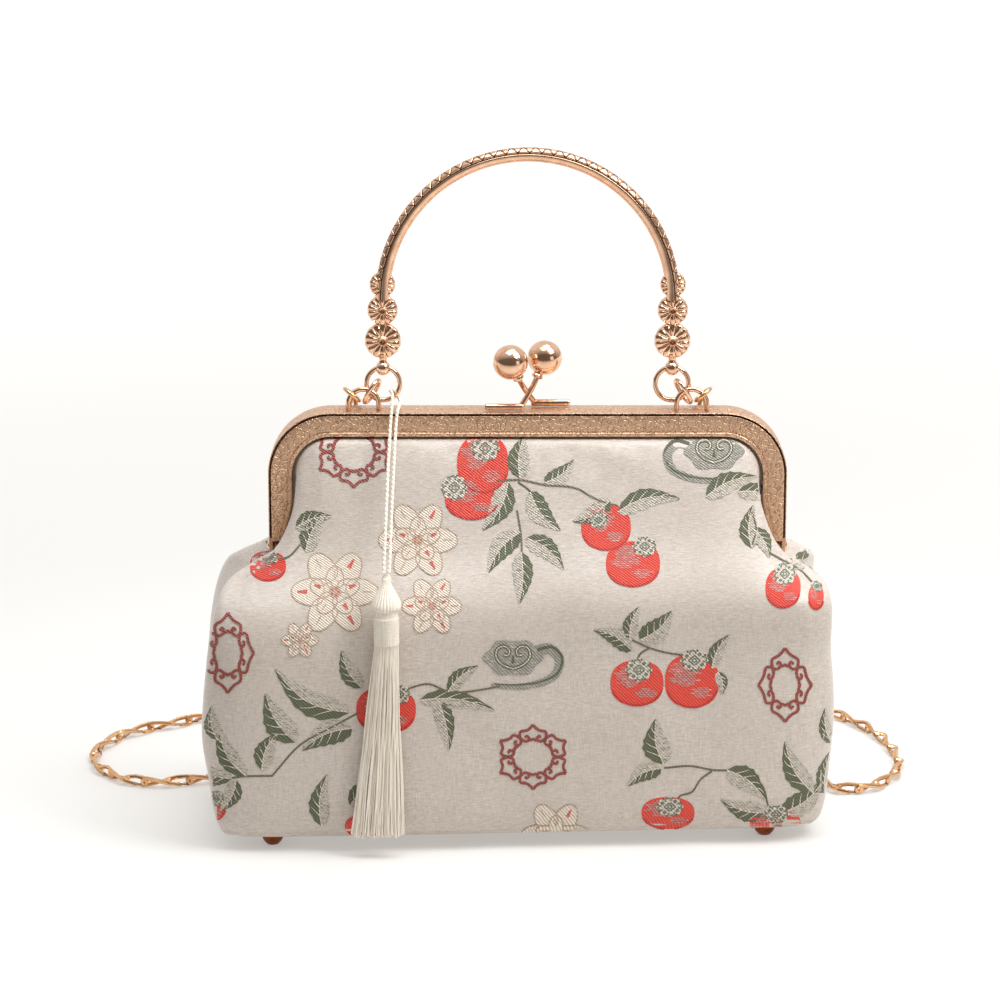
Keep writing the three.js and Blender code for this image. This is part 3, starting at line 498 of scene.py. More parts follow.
# Materials: threads
def thread_look():
    look = Look("ivory_thread", Roughness=0.38, Sheen_Weight=0.4, Sheen_Roughness=0.4)
    along = look.noise((3.2, 3.2, 0.12), 3, 0.6)
    broad = look.noise((0.12, 0.12, 0.05), 2)
    pale = look.mix(look.range(along, 0.35, 0.7), srgb(226, 213, 194), srgb(250, 244, 234))
    look.shape("Base Color", look.mix(look.range(broad, 0.4, 0.7, 0, 0.35), pale, srgb(236, 225, 207)))
    look.shape("Normal", look.bump(along, 0.12))
    return look.material


def cord_look():
    look = Look("ivory_cord", Roughness=0.5, Sheen_Weight=0.3)
    split = look.axes()
    lay = look.plus(look.times(split["X"], 2.4), look.times(split["Z"], 4.2))
    strand = look.math("SINE", lay)
    look.shape("Base Color", look.mix(look.range(strand, -1, 1), srgb(230, 218, 194), srgb(252, 247, 234)))
    look.shape("Normal", look.bump(strand, 0.08))
    return look.material


THREAD = thread_look()
CORD = cord_look()


def tassel_cord():
    path = smooth_route(CORD_ROUTE, 8)
    curve = bpy.data.curves.new("tassel_cord_line", "CURVE")
    curve.dimensions = "3D"
    curve.bevel_depth = CORD_DIAMETER / 2 * MM
    curve.bevel_resolution = 3
    curve.use_fill_caps = True
    spline = curve.splines.new("POLY")
    spline.points.add(len(path) - 1)
    for point, place in zip(spline.points, (path + ORIGIN) * MM):
        point.co = (*place, 1)
    curve.materials.append(CORD)
    piece = bpy.data.objects.new("tassel_cord_thread", curve)
    bpy.context.scene.collection.objects.link(piece)
    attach(piece, "purse")
    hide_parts("tassel_cord")


tassel_cord()


# The frame's outer edge as an arch, measured along it from the top's middle to a leg's end
TOP_RUN = HALF_WIDTH - FRAME_CORNER_RADIUS
CORNER_RUN = FRAME_CORNER_RADIUS * math.pi / 2
LEG_RUN = FRAME_TOP - FRAME_CORNER_RADIUS - FRAME_LEG_END
ARCH_RUN = TOP_RUN + CORNER_RUN + LEG_RUN
EDGE_RUN = ARCH_RUN - 2
HINGE_CLEAR_X = HALF_WIDTH - 2 * (LUG_THICKNESS + GAP) - RIVET_HEAD_HEIGHT - 1.1
CLOTH_EDGE_Y = GAP / 2 + LEAF_DEPTH / 2 + CLOTH / 2


def arch_point(run, inset):
    if run <= TOP_RUN:
        return run, FRAME_TOP - inset
    turn = min((run - TOP_RUN) / FRAME_CORNER_RADIUS, math.pi / 2)
    radius = FRAME_CORNER_RADIUS - inset
    leg = max(run - TOP_RUN - CORNER_RUN, 0)
    x = TOP_RUN + radius * math.sin(turn)
    return x, FRAME_TOP - FRAME_CORNER_RADIUS + radius * math.cos(turn) - leg


def band_at(run):
    share = min((ARCH_RUN - run) / FRAME_TAPER_LENGTH, 1)
    return FRAME_LEG_END_BAND + (FRAME_BAND - FRAME_LEG_END_BAND) * share


# The soft bag's surface, worked out as the construction model works it out but with finer steps
def between(a, b, share):
    return a + (b - a) * share


SHOULDER_Z = BAG_BOTTOM + SHOULDER_SHARE * (FRAME_TOP - BAG_BOTTOM)
BELLY_Z = BAG_BOTTOM + BELLY_SHARE * (FRAME_TOP - BAG_BOTTOM)
ROLL_Z = BAG_BOTTOM + BASE_ROLL
# Half width, half depth, squareness, height at the front, height at the side, fold of the side
LEVELS = [
    (*SHOULDER, 10, SHOULDER_Z, SHOULDER_Z + 3, GUSSET_FOLD),
    (between(SHOULDER[0], BELLY[0], 0.6), between(SHOULDER[1], BELLY[1], 0.65), 9,
     between(SHOULDER_Z, BELLY_Z, 0.45), between(SHOULDER_Z, BELLY_Z, 0.4), 0.55 * GUSSET_FOLD),
    (*BELLY, 8, BELLY_Z, BELLY_Z, 0.2 * GUSSET_FOLD),
    (between(BASE[0], BELLY[0], 0.34), between(BASE[1], BELLY[1], 0.4), 11, ROLL_Z, ROLL_Z, 0),
    (BASE[0], BASE[1] - 2.5, 12, BAG_BOTTOM, BAG_BOTTOM, 0),
]


def edge_point(share, inset, y, hinge_x, hinge_z):
    if share <= 1:
        run = EDGE_RUN * share
        x, z = arch_point(run, min(inset, inset * band_at(run) / FRAME_BAND + 1))
        return np.array([x, -y, z])
    last = edge_point(1, inset, y, hinge_x, hinge_z)
    across = share - 1
    x = between(last[0], hinge_x, math.sin(across * math.pi / 2))
    return np.array([x, -y * (1 - across), between(last[2], hinge_z, across)])


def level_point(share, level):
    half_width, half_depth, square, z, side_z, fold = level
    corner_x = half_width * 2 ** (-1 / square)
    corner_y = half_depth * 2 ** (-1 / square)
    across = max(share - 1, 0)
    height = between(z, side_z, across)
    if share <= 1:
        x = corner_x * share
        return np.array([x, -half_depth * (1 - (x / half_width) ** square) ** (1 / square), height])
    y = corner_y * (1 - across)
    x = half_width * (1 - (y / half_depth) ** square) ** (1 / square)
    return np.array([x - fold * math.sin(across * math.pi / 2) ** 2, -y, height])


def column_keys(share):
    mouth = edge_point(share, FRAME_BAND + 1.6, GAP / 2 + LEAF_DEPTH + 1,
                       HINGE_CLEAR_X - 0.3, HINGE_Z - LUG_RADIUS - 2.6)
    shoulder = level_point(share, LEVELS[0])
    yoke = np.array([
        between(mouth[0], shoulder[0], YOKE_SPREAD),
        between(mouth[1], shoulder[1], YOKE_DEPTH) - YOKE_PUFF * max(1 - share, 0) ** 0.5,
        between(mouth[2], shoulder[2], YOKE_DROP),
    ])
    return [
        edge_point(share, CLOTH_EDGE_INSET, CLOTH_EDGE_Y, HINGE_CLEAR_X, HINGE_Z),
        edge_point(share, FRAME_BAND + 0.3, CLOTH_EDGE_Y, HINGE_CLEAR_X, HINGE_Z - 1.5),
        mouth, yoke, shoulder, *(level_point(share, level) for level in LEVELS[1:]),
    ]


def settled(points):
    """The lower bag stands a little to one side of the frame and turned under it."""
    drop = np.clip((FRAME_LEG_END - points[..., 2]) / SETTLE_HEIGHT, 0, 1)
    sink = drop * drop * (3 - 2 * drop)
    turn = np.radians(BAG_TWIST) * sink
    x = points[..., 0] * np.cos(turn) - points[..., 1] * np.sin(turn) + BAG_SHIFT * sink
    y = points[..., 0] * np.sin(turn) + points[..., 1] * np.cos(turn)
    return np.stack([x, y, points[..., 2]], axis=-1)


def bag_rows():
    shares = [c / FRONT_COLUMNS for c in range(FRONT_COLUMNS + 1)]
    shares += [1 + c / SIDE_COLUMNS for c in range(1, SIDE_COLUMNS + 1)]
    keys = np.array([column_keys(share) for share in shares]).transpose(1, 0, 2)
    fractions = [[s / steps for s in range(steps)] for steps in ROW_STEPS]
    fractions[-1].append(1)
    right_front = through(keys, fractions)
    right_back = right_front[:, ::-1] * [1, -1, 1]
    quarters = (right_front, right_back, right_front * [-1, -1, 1], right_back * [-1, -1, 1])
    rows = settled(np.concatenate([part[:, :-1] for part in quarters], axis=1))
    bottom = rows[-1]
    middle = bottom.mean(axis=0)
    return rows, np.array([middle + (bottom - middle) * share for share in BASE_SHARES]), middle


def softened(rows, base):
    """Cloth relief: puckers under the frame, slack waves, dents at the corners and pressed seams."""
    whole = np.concatenate([rows, base])
    across = np.roll(whole, -1, axis=1) - np.roll(whole, 1, axis=1)
    down = np.gradient(whole, axis=0)
    normal = unit(np.cross(down, across) + 1e-12)
    normal *= np.sign((normal * (whole - whole.mean(axis=(0, 1)))).sum(axis=-1).mean())
    mouth_row = ROW_STEPS[0] + ROW_STEPS[1]
    steps = np.linalg.norm(np.diff(whole, axis=0), axis=-1)
    run = np.concatenate([np.zeros((1, whole.shape[1])), np.cumsum(steps, axis=0)])
    from_mouth = run - run[mouth_row]
    columns = whole.shape[1]
    quarter = FRONT_COLUMNS + SIDE_COLUMNS
    lift = np.zeros(whole.shape[:2])
    for r in range(mouth_row, whole.shape[0]):
        for c in range(columns):
            where = Vector(whole[r, c])
            slack = noise.noise(where / SLACK_WAVE) * SLACK_HEIGHT
            slack += noise.noise(where / RUMPLE_WAVE + Vector((5, 1, 3))) * RUMPLE_HEIGHT
            depth = from_mouth[r, c]
            gather = Vector((where.x / PUCKER_WIDTH, where.y / PUCKER_WIDTH, where.z / PUCKER_LENGTH))
            pucker = noise.noise(gather) * math.exp(-((depth - PUCKER_MIDDLE) / PUCKER_REACH) ** 2)
            flat = 1 if r < len(rows) - 2 else 0.15
            lift[r, c] = flat * (min(depth / 8, 1) * slack + PUCKER_HEIGHT * pucker * min(depth / 3, 1))
    seam_start = mouth_row + ROW_STEPS[2]
    for k, corner in enumerate((FRONT_COLUMNS, SIDE_COLUMNS, FRONT_COLUMNS, SIDE_COLUMNS)):
        lift[seam_start:len(rows), k * quarter + corner] -= SEAM_DEPTH
    lift[len(rows) - 4] -= BASE_SEAM_DEPTH
    return whole + normal * lift[..., None]


def bag_shape():
    rows, base, middle = bag_rows()
    whole = softened(rows, base)
    count = whole.shape[1]
    points = np.concatenate([whole.reshape(-1, 3), [middle]])
    faces = grid_faces(whole.shape[0], count)
    last = (whole.shape[0] - 1) * count
    faces += [(last + i, last + (i + 1) % count, len(points) - 1) for i in range(count)]
    return outward((points, faces))


def brocade_look():
    look = Look("satin_ground", Roughness=0.4, Sheen_Weight=0.4, Sheen_Roughness=0.3)
    look.shader.inputs["Specular IOR Level"].default_value = 0.75
    weft = look.noise((0.45, 0.45, 3.4), 3, 0.6)
    warp = look.noise((3.2, 3.2, 0.3), 3, 0.6)
    broad = look.noise(0.02, 3)
    speck = look.noise((1.9, 1.9, 2.3), 4, 0.7)
    threads = look.plus(look.times(weft, 0.6), look.times(warp, 0.4))
    ground = look.mix(look.range(threads, 0.38, 0.62), srgb(184, 171, 160), srgb(216, 206, 196))
    ground = look.mix(look.range(broad, 0.35, 0.7, 0, 0.3), ground, srgb(193, 178, 165))
    ground = look.mix(look.range(speck, 0.6, 0.76, 0, 0.5), ground, srgb(242, 234, 226))
    look.shape("Base Color", ground)
    look.shape("Roughness", look.range(threads, 0.3, 0.7, 0.33, 0.5))
    look.shape("Normal", look.bump(threads, 0.11, 0.9, look.bump(speck, 0.06, 0.6)))
    return look.material


def embroidery_look():
    """Woven figures: the colour comes from the mesh, with twill ridges and flecks of the ground."""
    look = Look("woven_figure", Roughness=0.5, Sheen_Weight=0.3, Sheen_Roughness=0.4)
    color = look.node("Attribute", attribute_name="thread").outputs["Color"]
    fleck = look.node("Attribute", attribute_name="fleck").outputs["Fac"]
    split = look.axes()
    slant = look.plus(look.plus(split["X"], split["Y"]), split["Z"])
    wobble = look.noise(0.5, 2)
    ridge = look.math("SINE", look.plus(look.times(slant, 4.9), look.times(wobble, 5)))
    weft = look.noise((0.55, 0.55, 3.2), 4, 0.7)
    dark = look.mix(1.0, color, srgb(205, 196, 190), "MULTIPLY")
    twill = look.mix(look.range(ridge, -0.9, 0.6), dark, color)
    level = look.minus(0.83, look.times(fleck, 0.5))
    bare = look.times(look.math("GREATER_THAN", weft, level), 0.75)
    look.shape("Base Color", look.mix(bare, twill, srgb(214, 200, 188)))
    look.shape("Normal", look.bump(ridge, 0.1, 0.8, look.bump(weft, 0.08, 0.6)))
    return look.material


BROCADE = brocade_look()
FIGURE = embroidery_look()

bag_points, bag_faces = bag_shape()
bag = add_piece("bag_cloth", (bag_points, bag_faces), BROCADE, ["bag_body"], sharp=70)
wall = bag.modifiers.new("cloth_wall", "SOLIDIFY")
wall.thickness = WALL_THICKNESS * MM
wall.offset = -1
wall.use_rim = True


# Woven figures, laid on the cloth along the line of sight of one side
RED = srgb(236, 72, 54)
RED_DEEP = srgb(208, 46, 38)
ROSE = srgb(206, 132, 126)
LEAF_DARK = srgb(98, 105, 76)
LEAF_MIST = srgb(140, 146, 130)
CLOUD_GREY = srgb(158, 156, 146)
VEIN = srgb(226, 216, 202)
TWIG = srgb(112, 108, 84)
CALYX_LINE = srgb(116, 130, 112)
BRICK = srgb(158, 70, 60)
CREAM = srgb(240, 228, 212)
CREAM_LINE = srgb(202, 178, 156)
CORAL = srgb(222, 104, 92)
# Heights of the thread layers above the cloth, and the weft's measures
FRUIT_LIFT = 0.14
CAP_LIFT = 0.2
CAP_LINE_LIFT = 0.27
LEAF_LIFT = 0.15
LEAF_TEETH = 6
VEIN_LIFT = 0.24
CLOUD_LIFT = 0.14
PETAL_LIFT = 0.13
RING_THREAD_LIFT = 0.2
TWIG_LIFT = 0.17
WEFT_PITCH = 0.62
WEFT_WIDTH = 0.46


class Weaver:
    """Gathers woven figures as thin raised patches on the cloth, drawn from one side."""

    def __init__(self, tree, eye, right, up, centre):
        self.tree = tree
        self.eye = np.asarray(eye, float)
        self.right = np.asarray(right, float)
        self.up = np.asarray(up, float)
        self.centre = np.asarray(centre, float)
        self.points, self.faces, self.colors, self.flecks = [], [], [], []
        self.spot = (0, 0, 0, 1, 1)

    def at(self, x, down, turn=0, size=1, flip=1):
        """Sets where the next figure goes: to the right of and below the centre, in millimetres."""
        self.spot = (x, -down, math.radians(turn), size, flip)

    def local(self, point):
        x, y, turn, size, flip = self.spot
        return swung((point[0] * size * flip, point[1] * size), turn, (x, y))

    def drape(self, flat, triangles, height, color, fleck, rim):
        eye = Vector(self.eye)
        hits = []
        for a, b in flat:
            aim = Vector(self.centre + a * self.right + b * self.up) - eye
            aim.normalize()
            place, normal, _, _ = self.tree.ray_cast(eye, aim)
            good = place is not None and normal.dot(-aim) > 0.24
            hits.append((place, normal) if good else None)
        start = len(self.points)
        for hit in hits:
            self.points.append(tuple(hit[0] + hit[1] * height) if hit else (0, 0, 0))
        kept = []
        for face in triangles:
            if any(hits[i] is None for i in face):
                continue
            places = [hits[i][0] for i in face]
            spread = max((places[i] - places[i - 1]).length for i in range(len(places)))
            flat_spread = max(math.dist(flat[face[i]], flat[face[i - 1]]) for i in range(len(face)))
            if spread <= 4.5 * flat_spread + 0.3:
                kept.append(tuple(face))
        if rim:
            edges = {}
            for face in kept:
                for i, v in enumerate(face):
                    edges[(v, face[(i + 1) % len(face)])] = True
            border = [edge for edge in edges if (edge[1], edge[0]) not in edges]
            feet = {}
            for v in {v for edge in border for v in edge}:
                feet[v] = len(self.points) - start
                self.points.append(tuple(hits[v][0] - hits[v][1] * 0.2))
            kept += [(b, a, feet[a], feet[b]) for a, b in border]
        for face in kept:
            self.faces.append(tuple(start + i for i in face))
            self.colors.append(color)
            self.flecks.append(fleck)

    def fill(self, outline, color, height=0.14, fleck=0.0, grid=1.5, rim=True):
        """A filled outline: its points lie on the cloth, with a net of inner points."""
        ring = [Vector(self.local(p)) for p in outline]
        dense = []
        for i, p in enumerate(ring):
            q = ring[(i + 1) % len(ring)]
            steps = max(1, int((q - p).length / 1.1))
            dense += [p.lerp(q, s / steps) for s in range(steps)]
        low = [min(p[k] for p in dense) for k in (0, 1)]
        high = [max(p[k] for p in dense) for k in (0, 1)]
        inner = []
        for i in range(int((high[0] - low[0]) / grid) + 1):
            for j in range(int((high[1] - low[1]) / grid) + 1):
                inner.append(Vector((low[0] + (i + 0.5) * grid, low[1] + (j + 0.5) * grid)))
        loop = [(i, (i + 1) % len(dense)) for i in range(len(dense))]
        result = geometry.delaunay_2d_cdt(dense + inner, loop, [tuple(range(len(dense)))], 1, 1e-4)
        flat = [tuple(p) for p in result[0]]
        faces = []
        for face in result[2]:
            a, b, c = (flat[i] for i in face[:3])
            area = (b[0] - a[0]) * (c[1] - a[1]) - (b[1] - a[1]) * (c[0] - a[0])
            faces.append(face if area > 0 else list(reversed(face)))
        self.drape(flat, faces, height, color, fleck, rim)

    def line(self, points, width, color, height=0.2, taper=False, closed=False, step=0.9, fleck=0.0):
        """A thread line of a width in millimetres through the points."""
        route = [Vector(self.local(p)) for p in points]
        if closed:
            route.append(route[0])
        path = np.array([(*p, 0) for p in route])
        if len(path) > 2:
            path = smooth_route(path, 6)
        count = max(3, int(length_of(path) / step) + 1)
        path = resampled(path, count)[:, :2]
        along = unit(np.gradient(path, axis=0) + 1e-9)
        aside = np.stack([-along[:, 1], along[:, 0]], axis=1)
        half = np.full(count, width / 2)
        if taper:
            half *= np.linspace(1, 0.35, count)
        left = path + aside * half[:, None]
        right = path - aside * half[:, None]
        flat = [tuple(p) for p in np.concatenate([right, left])]
        faces = [(i, i + 1, count + i + 1, count + i) for i in range(count - 1)]
        self.drape(flat, faces, height, color, fleck, False)

    def object(self, name):
        piece = add_piece(name, (self.points, self.faces), FIGURE, sharp=60)
        mesh = piece.data
        if len(mesh.polygons) != len(self.faces):
            raise ValueError("a woven figure has a face of no area")
        colors, flecks = [], []
        for face, color, share in zip(self.faces, self.colors, self.flecks):
            colors += list(color) * len(face)
            flecks += [share] * len(face)
        mesh.attributes.new("thread", "FLOAT_COLOR", "CORNER").data.foreach_set("color", colors)
        mesh.attributes.new("fleck", "FLOAT", "CORNER").data.foreach_set("value", flecks)


def blob(radius_x, radius_y, lobes=0, depth=0.0, square=2.0, count=40, centre=(0, 0)):
    """A closed outline: an oval with soft lobes."""
    points = []
    for i in range(count):
        turn = 2 * math.pi * i / count
        c, s = math.cos(turn), math.sin(turn)
        reach = (abs(c) ** square + abs(s) ** square) ** (-1 / square) * (1 + depth * math.cos(lobes * turn))
        points.append(on_oval(radius_x * reach, radius_y * reach, turn, centre))
    return points


def calyx(weaver, centre, size, squash=1.0):
    """A persimmon's four-part leaf cap with a square middle, loops and dots."""
    def around(radius, *form):
        return blob(radius * size, radius * size * squash, *form, centre)

    def spot(radius, turn, middle):
        return on_oval(radius * size, radius * size * squash, turn, middle)

    weaver.fill(around(4.7, 8, 0.07, 2, 40), VEIN, CAP_LIFT)
    weaver.line(around(1.9, 4, 0.1, 1.3, 16), 0.5, CALYX_LINE, CAP_LINE_LIFT, closed=True, step=0.7)
    weaver.line(around(0.8, 0, 0, 2, 8), 0.4, CALYX_LINE, CAP_LINE_LIFT, closed=True, step=0.5)
    for k in range(8):
        turn = math.radians(45 * k + 10)
        knot = spot(3.3, turn, centre)
        if k % 2:
            dot = blob(0.72 * size, 0.62 * size, 0, 0, 2, 9, knot)
            weaver.fill(dot, CALYX_LINE, CAP_LINE_LIFT, rim=False)
        else:
            arc = [spot(1.15, turn + a, knot) for a in (-2.0, -1.2, -0.4, 0.4, 1.2, 2.0)]
            weaver.line(arc, 0.5, CALYX_LINE, CAP_LINE_LIFT, step=0.6)
        dot = blob(0.42 * size, 0.38 * size, 0, 0, 2, 7, spot(4.5, turn + math.radians(22), centre))
        weaver.fill(dot, LEAF_DARK, CAP_LINE_LIFT, rim=False)


def streaks(weaver, half_width, half_height, centre):
    """A soft-edged rosy patch of separate weft threads."""
    rows = int(2 * half_height / WEFT_PITCH)
    for row in range(rows):
        y = centre[1] + half_height * (2 * (row + 0.5) / rows - 1)
        reach = half_width * math.sqrt(max(1 - ((y - centre[1]) / half_height) ** 2, 0.05))
        left = centre[0] - reach * random.uniform(0.55, 1.15)
        right = centre[0] + reach * random.uniform(0.55, 1.15)
        weaver.line([(left, y), (right, y)], WEFT_WIDTH, ROSE, FRUIT_LIFT + 0.04, fleck=0.5)


def persimmon(weaver, half_width, half_height, cap_x, cap_y, cap_size, cap_squash=1.0):
    """A flat round fruit with a rosy top and its leaf cap."""
    weaver.fill(blob(half_width, half_height, 4, -0.02, 2.1, 44), RED, FRUIT_LIFT, 0.12)
    for wide, high, x, y in ((0.58, 0.5, -0.26, 0.3), (0.4, 0.2, 0.34, -0.42)):
        streaks(weaver, wide * half_width, high * half_height, (x * half_width, y * half_height))
    turns = np.linspace(math.radians(200), math.radians(340), 9)
    rim = [on_oval(half_width * 0.97, half_height * 0.97, turn) for turn in turns]
    weaver.line(rim, 0.7, RED_DEEP, FRUIT_LIFT + 0.05)
    calyx(weaver, (cap_x, cap_y), cap_size, cap_squash)


def leaf(weaver, length, width, bend):
    """A serrated leaf along +X from its stalk: a dark half, a misty half and pale veins."""
    def spine(t):
        return bend * length * math.sin(math.pi * t)

    def reach(t):
        return width * math.sin(math.pi * min(t ** 0.72, 1)) ** 0.9 * (1 - 0.25 * t) + 0.02

    for side, color, share in ((1, LEAF_DARK, 0.12), (-1, LEAF_MIST, 0.75)):
        edge = []
        for i in range(LEAF_TEETH * 2 + 1):
            t = i / (LEAF_TEETH * 2)
            tooth = 1.0 if i % 2 else 0.86
            edge.append((t * length, spine(t) + side * (0.2 + reach(t) * tooth)))
        back = [(t * length, spine(t) + side * 0.16) for t in (0.9, 0.7, 0.5, 0.3, 0.1)]
        outline = edge + back
        weaver.fill(outline if side < 0 else outline[::-1], color, LEAF_LIFT, share)
    rib = [(t * length, spine(t)) for t in (0, 0.25, 0.5, 0.75, 0.97)]
    weaver.line(rib, 0.55, VEIN, VEIN_LIFT, taper=True)
    for t in (0.18, 0.36, 0.54, 0.7):
        for side in (1, -1):
            tip_t = t + 0.17
            tip = (tip_t * length, spine(tip_t) + side * reach(tip_t) * 0.78)
            middle = ((t + 0.07) * length, spine(t + 0.07) + side * reach(t) * 0.34)
            weaver.line([(t * length, spine(t)), middle, tip], 0.42, VEIN, VEIN_LIFT, taper=True)


def cloud_ring(weaver, half_width, half_height, heads):
    """A ring of ruyi cloud heads, each a pointed arch with two inward curls."""
    # Shares of the ring's size and of one head's half angle: outer contour, then one inner curl
    outer = [(-1, 0.74), (-0.78, 0.93), (-0.4, 0.92), (-0.16, 0.99), (0, 1.1)]
    curl = [(-1, 0.74), (-0.84, 0.6), (-0.5, 0.57), (-0.34, 0.67), (-0.5, 0.75), (-0.62, 0.69)]
    inner = [(-0.4, 0.6), (-0.14, 0.58), (0, 0.63)]
    half = math.pi / heads
    for k in range(heads):
        middle = math.pi / 2 + 2 * math.pi * k / heads
        for strokes in (outer, curl, inner):
            for side in (1, -1):
                points = []
                for share, radius in strokes:
                    turn = middle + side * share * half
                    points.append(on_oval(half_width * radius, half_height * radius, turn))
                weaver.line(points, 0.95, BRICK, RING_THREAD_LIFT, step=0.6)


def scroll_cloud(weaver):
    """A round grey-green cloud with a heart-shaped scroll and a sweeping tail."""
    tail = [(8, 3.4), (13.4, 4.4), (17, 0.6), (15.4, -5), (8.6, -8.4), (-0.6, -9.4), (-8, -9)]
    weaver.line(tail, 4, CLOUD_GREY, CLOUD_LIFT, taper=True, fleck=0.45)
    weaver.line([(x + 0.9, y + 0.7) for x, y in tail], 1.1, LEAF_DARK, CLOUD_LIFT + 0.05, taper=True)
    weaver.fill(blob(10.4, 6.6, 6, 0.08, 2, 48, (0, 1.2)), CLOUD_GREY, CLOUD_LIFT + 0.03, 0.5)
    # A pair of mirrored curls that meet in a point below, with a small knob between them
    curl = [(0, -3.6), (-3.6, -2.2), (-6.2, 0.8), (-5.6, 3.8), (-3, 4.6), (-1.2, 3), (-2, 1.2), (-3.4, 1.6)]
    for side in (1, -1):
        points = [(side * x, y + 0.8) for x, y in curl]
        weaver.line(points, 1.35, LEAF_DARK, CLOUD_LIFT + 0.07)
        weaver.line(points, 0.42, VEIN, CLOUD_LIFT + 0.12)
    weaver.line([(0, -0.8), (0, 2.2)], 1.2, LEAF_DARK, CLOUD_LIFT + 0.08, taper=True)


def blossom(weaver, size):
    """A cream garden blossom with fine outlines and coral touches."""
    # Distance of the petals from the middle, their half length and number: outer ring, inner ring
    for ring, (reach, span, count) in enumerate(((8.6, 5.4, 6), (4.6, 3.6, 5))):
        reach, span = reach * size, span * size
        for k in range(count):
            turn = math.radians(360 / count * k + 18 * ring)
            middle = on_oval(reach, reach, turn)
            outline = [swung(point, turn, middle) for point in blob(span, 0.82 * span, 3, 0.07, 2.2, 22)]
            lift = PETAL_LIFT + 0.05 * ring + 0.006 * k
            weaver.fill(outline, CREAM, lift, 0.22)
            weaver.line(outline, 0.4, CREAM_LINE, lift + 0.05, closed=True, step=0.8)
            start, end = (on_oval(share * span, share * span, turn, middle) for share in (0.1, 0.72))
            if (k + ring) % 2:
                weaver.line([start, end], 1.5 * size, CORAL, lift + 0.06, taper=True, fleck=0.2)
            else:
                weaver.line([start, end], 0.35, CREAM_LINE, lift + 0.05)
    weaver.fill(blob(2.1 * size, 2.1 * size, 6, 0.1, 2, 20), CREAM_LINE, PETAL_LIFT + 0.13, 0.3)
    for k in range(5):
        dot = on_oval(1.2 * size, 1.2 * size, math.radians(72 * k))
        weaver.fill(blob(0.42 * size, 0.42 * size, 0, 0, 2, 7, dot), CORAL, PETAL_LIFT + 0.17, rim=False)


# Photo pixel x and y, half width, half height, leaf cap x, y, size and squash
FRONT_PERSIMMONS = [
    (483, 464, 9.2, 10.2, 0.8, 5.4, 1.0, 0.95),
    (472, 498, 9.6, 7.6, -6.2, 3.6, 0.92, 1.0),
    (606, 527, 8.8, 8.2, -2.6, 2.4, 0.7, 0.8),
    (633, 564, 9.6, 8.0, 4.0, 6.0, 0.85, 0.85),
    (637, 683, 9.4, 8.0, 0.6, 4.6, 0.95, 0.85),
    (692, 681, 9.6, 9.4, 0.8, 7.2, 0.98, 0.8),
    (668, 813, 9.4, 5.6, 0.6, 2.2, 0.95, 0.72),
    (386, 710, 10.6, 8.2, 4.6, 5.4, 0.8, 0.85),
    (783, 588, 6.2, 7.0, 0.5, 4.8, 0.78, 1.05),
    (816, 597, 2.7, 4.4, 0.2, 3.6, 0.4, 1.0),
    (268, 566, 6.4, 5.2, 1.0, 3.0, 0.6, 0.8),
    (372, 826, 9.6, 4.4, -1.0, 2.6, 0.7, 0.6),
    (214, 806, 4.2, 5.2, 1.0, 2.6, 0.55, 1.0),
    (775, 822, 9.0, 4.2, 0.4, 2.8, 0.9, 0.7),
]
# Photo pixel x and y of the stalk, direction in degrees, length, half width, bend
FRONT_LEAVES = [
    (520, 478, 84, 15, 4.4, 0.08), (545, 483, 38, 13, 3.4, -0.1), (508, 482, -118, 19, 4.6, 0.1),
    (530, 492, -52, 17, 4.4, -0.1), (526, 538, -40, 17, 4.2, 0.1), (520, 532, -128, 18, 4.4, -0.1),
    (521, 552, -92, 18, 4.0, 0.05), (610, 500, -150, 15, 4.2, 0.1), (618, 512, 12, 22, 4.0, 0.12),
    (632, 650, 152, 15, 3.6, -0.1), (630, 640, 74, 12, 3.0, 0.1), (640, 640, 42, 15, 4.6, -0.1),
    (712, 668, 62, 13, 2.8, 0.1), (718, 672, -80, 8, 2.2, 0.1),
    (664, 764, 100, 16, 5.4, 0.1), (661, 768, -152, 13, 3.6, -0.12),
    (727, 770, -38, 17, 4.6, 0.1), (768, 812, 165, 17, 4.0, 0.1), (783, 812, 38, 17, 4.6, -0.1),
    (812, 792, 118, 20, 4.4, 0.1), (824, 792, 82, 14, 3.0, 0.05), (832, 745, 100, 13, 2.4, 0.1),
    (786, 566, 32, 15, 3.4, -0.1), (752, 548, 88, 15, 3.6, 0.1), (738, 492, -12, 14, 3.4, 0.1),
    (706, 497, 22, 19, 4.2, 0.1), (752, 528, -60, 12, 3.2, 0.1),
    (420, 700, -8, 26, 3.6, 0.08), (438, 700, -78, 18, 3.6, 0.05), (448, 692, 40, 14, 3.0, 0.1),
    (350, 712, 150, 30, 5.2, 0.14), (352, 728, -156, 19, 5.0, -0.1), (362, 688, 118, 15, 3.6, 0.1),
    (296, 742, 122, 20, 5.4, 0.1), (262, 770, 68, 14, 4.0, 0.1), (246, 776, 118, 20, 4.0, 0.12),
    (236, 780, -116, 12, 3.4, 0.1), (232, 778, 160, 14, 3.2, 0.1),
    (322, 826, 84, 18, 4.0, 0.1), (350, 806, 40, 13, 3.6, 0.1), (306, 552, 62, 15, 4.0, 0.1),
    (296, 528, 18, 13, 3.4, 0.1), (272, 548, 78, 12, 3.0, 0.1), (218, 740, 100, 12, 3.0, 0.1),
]
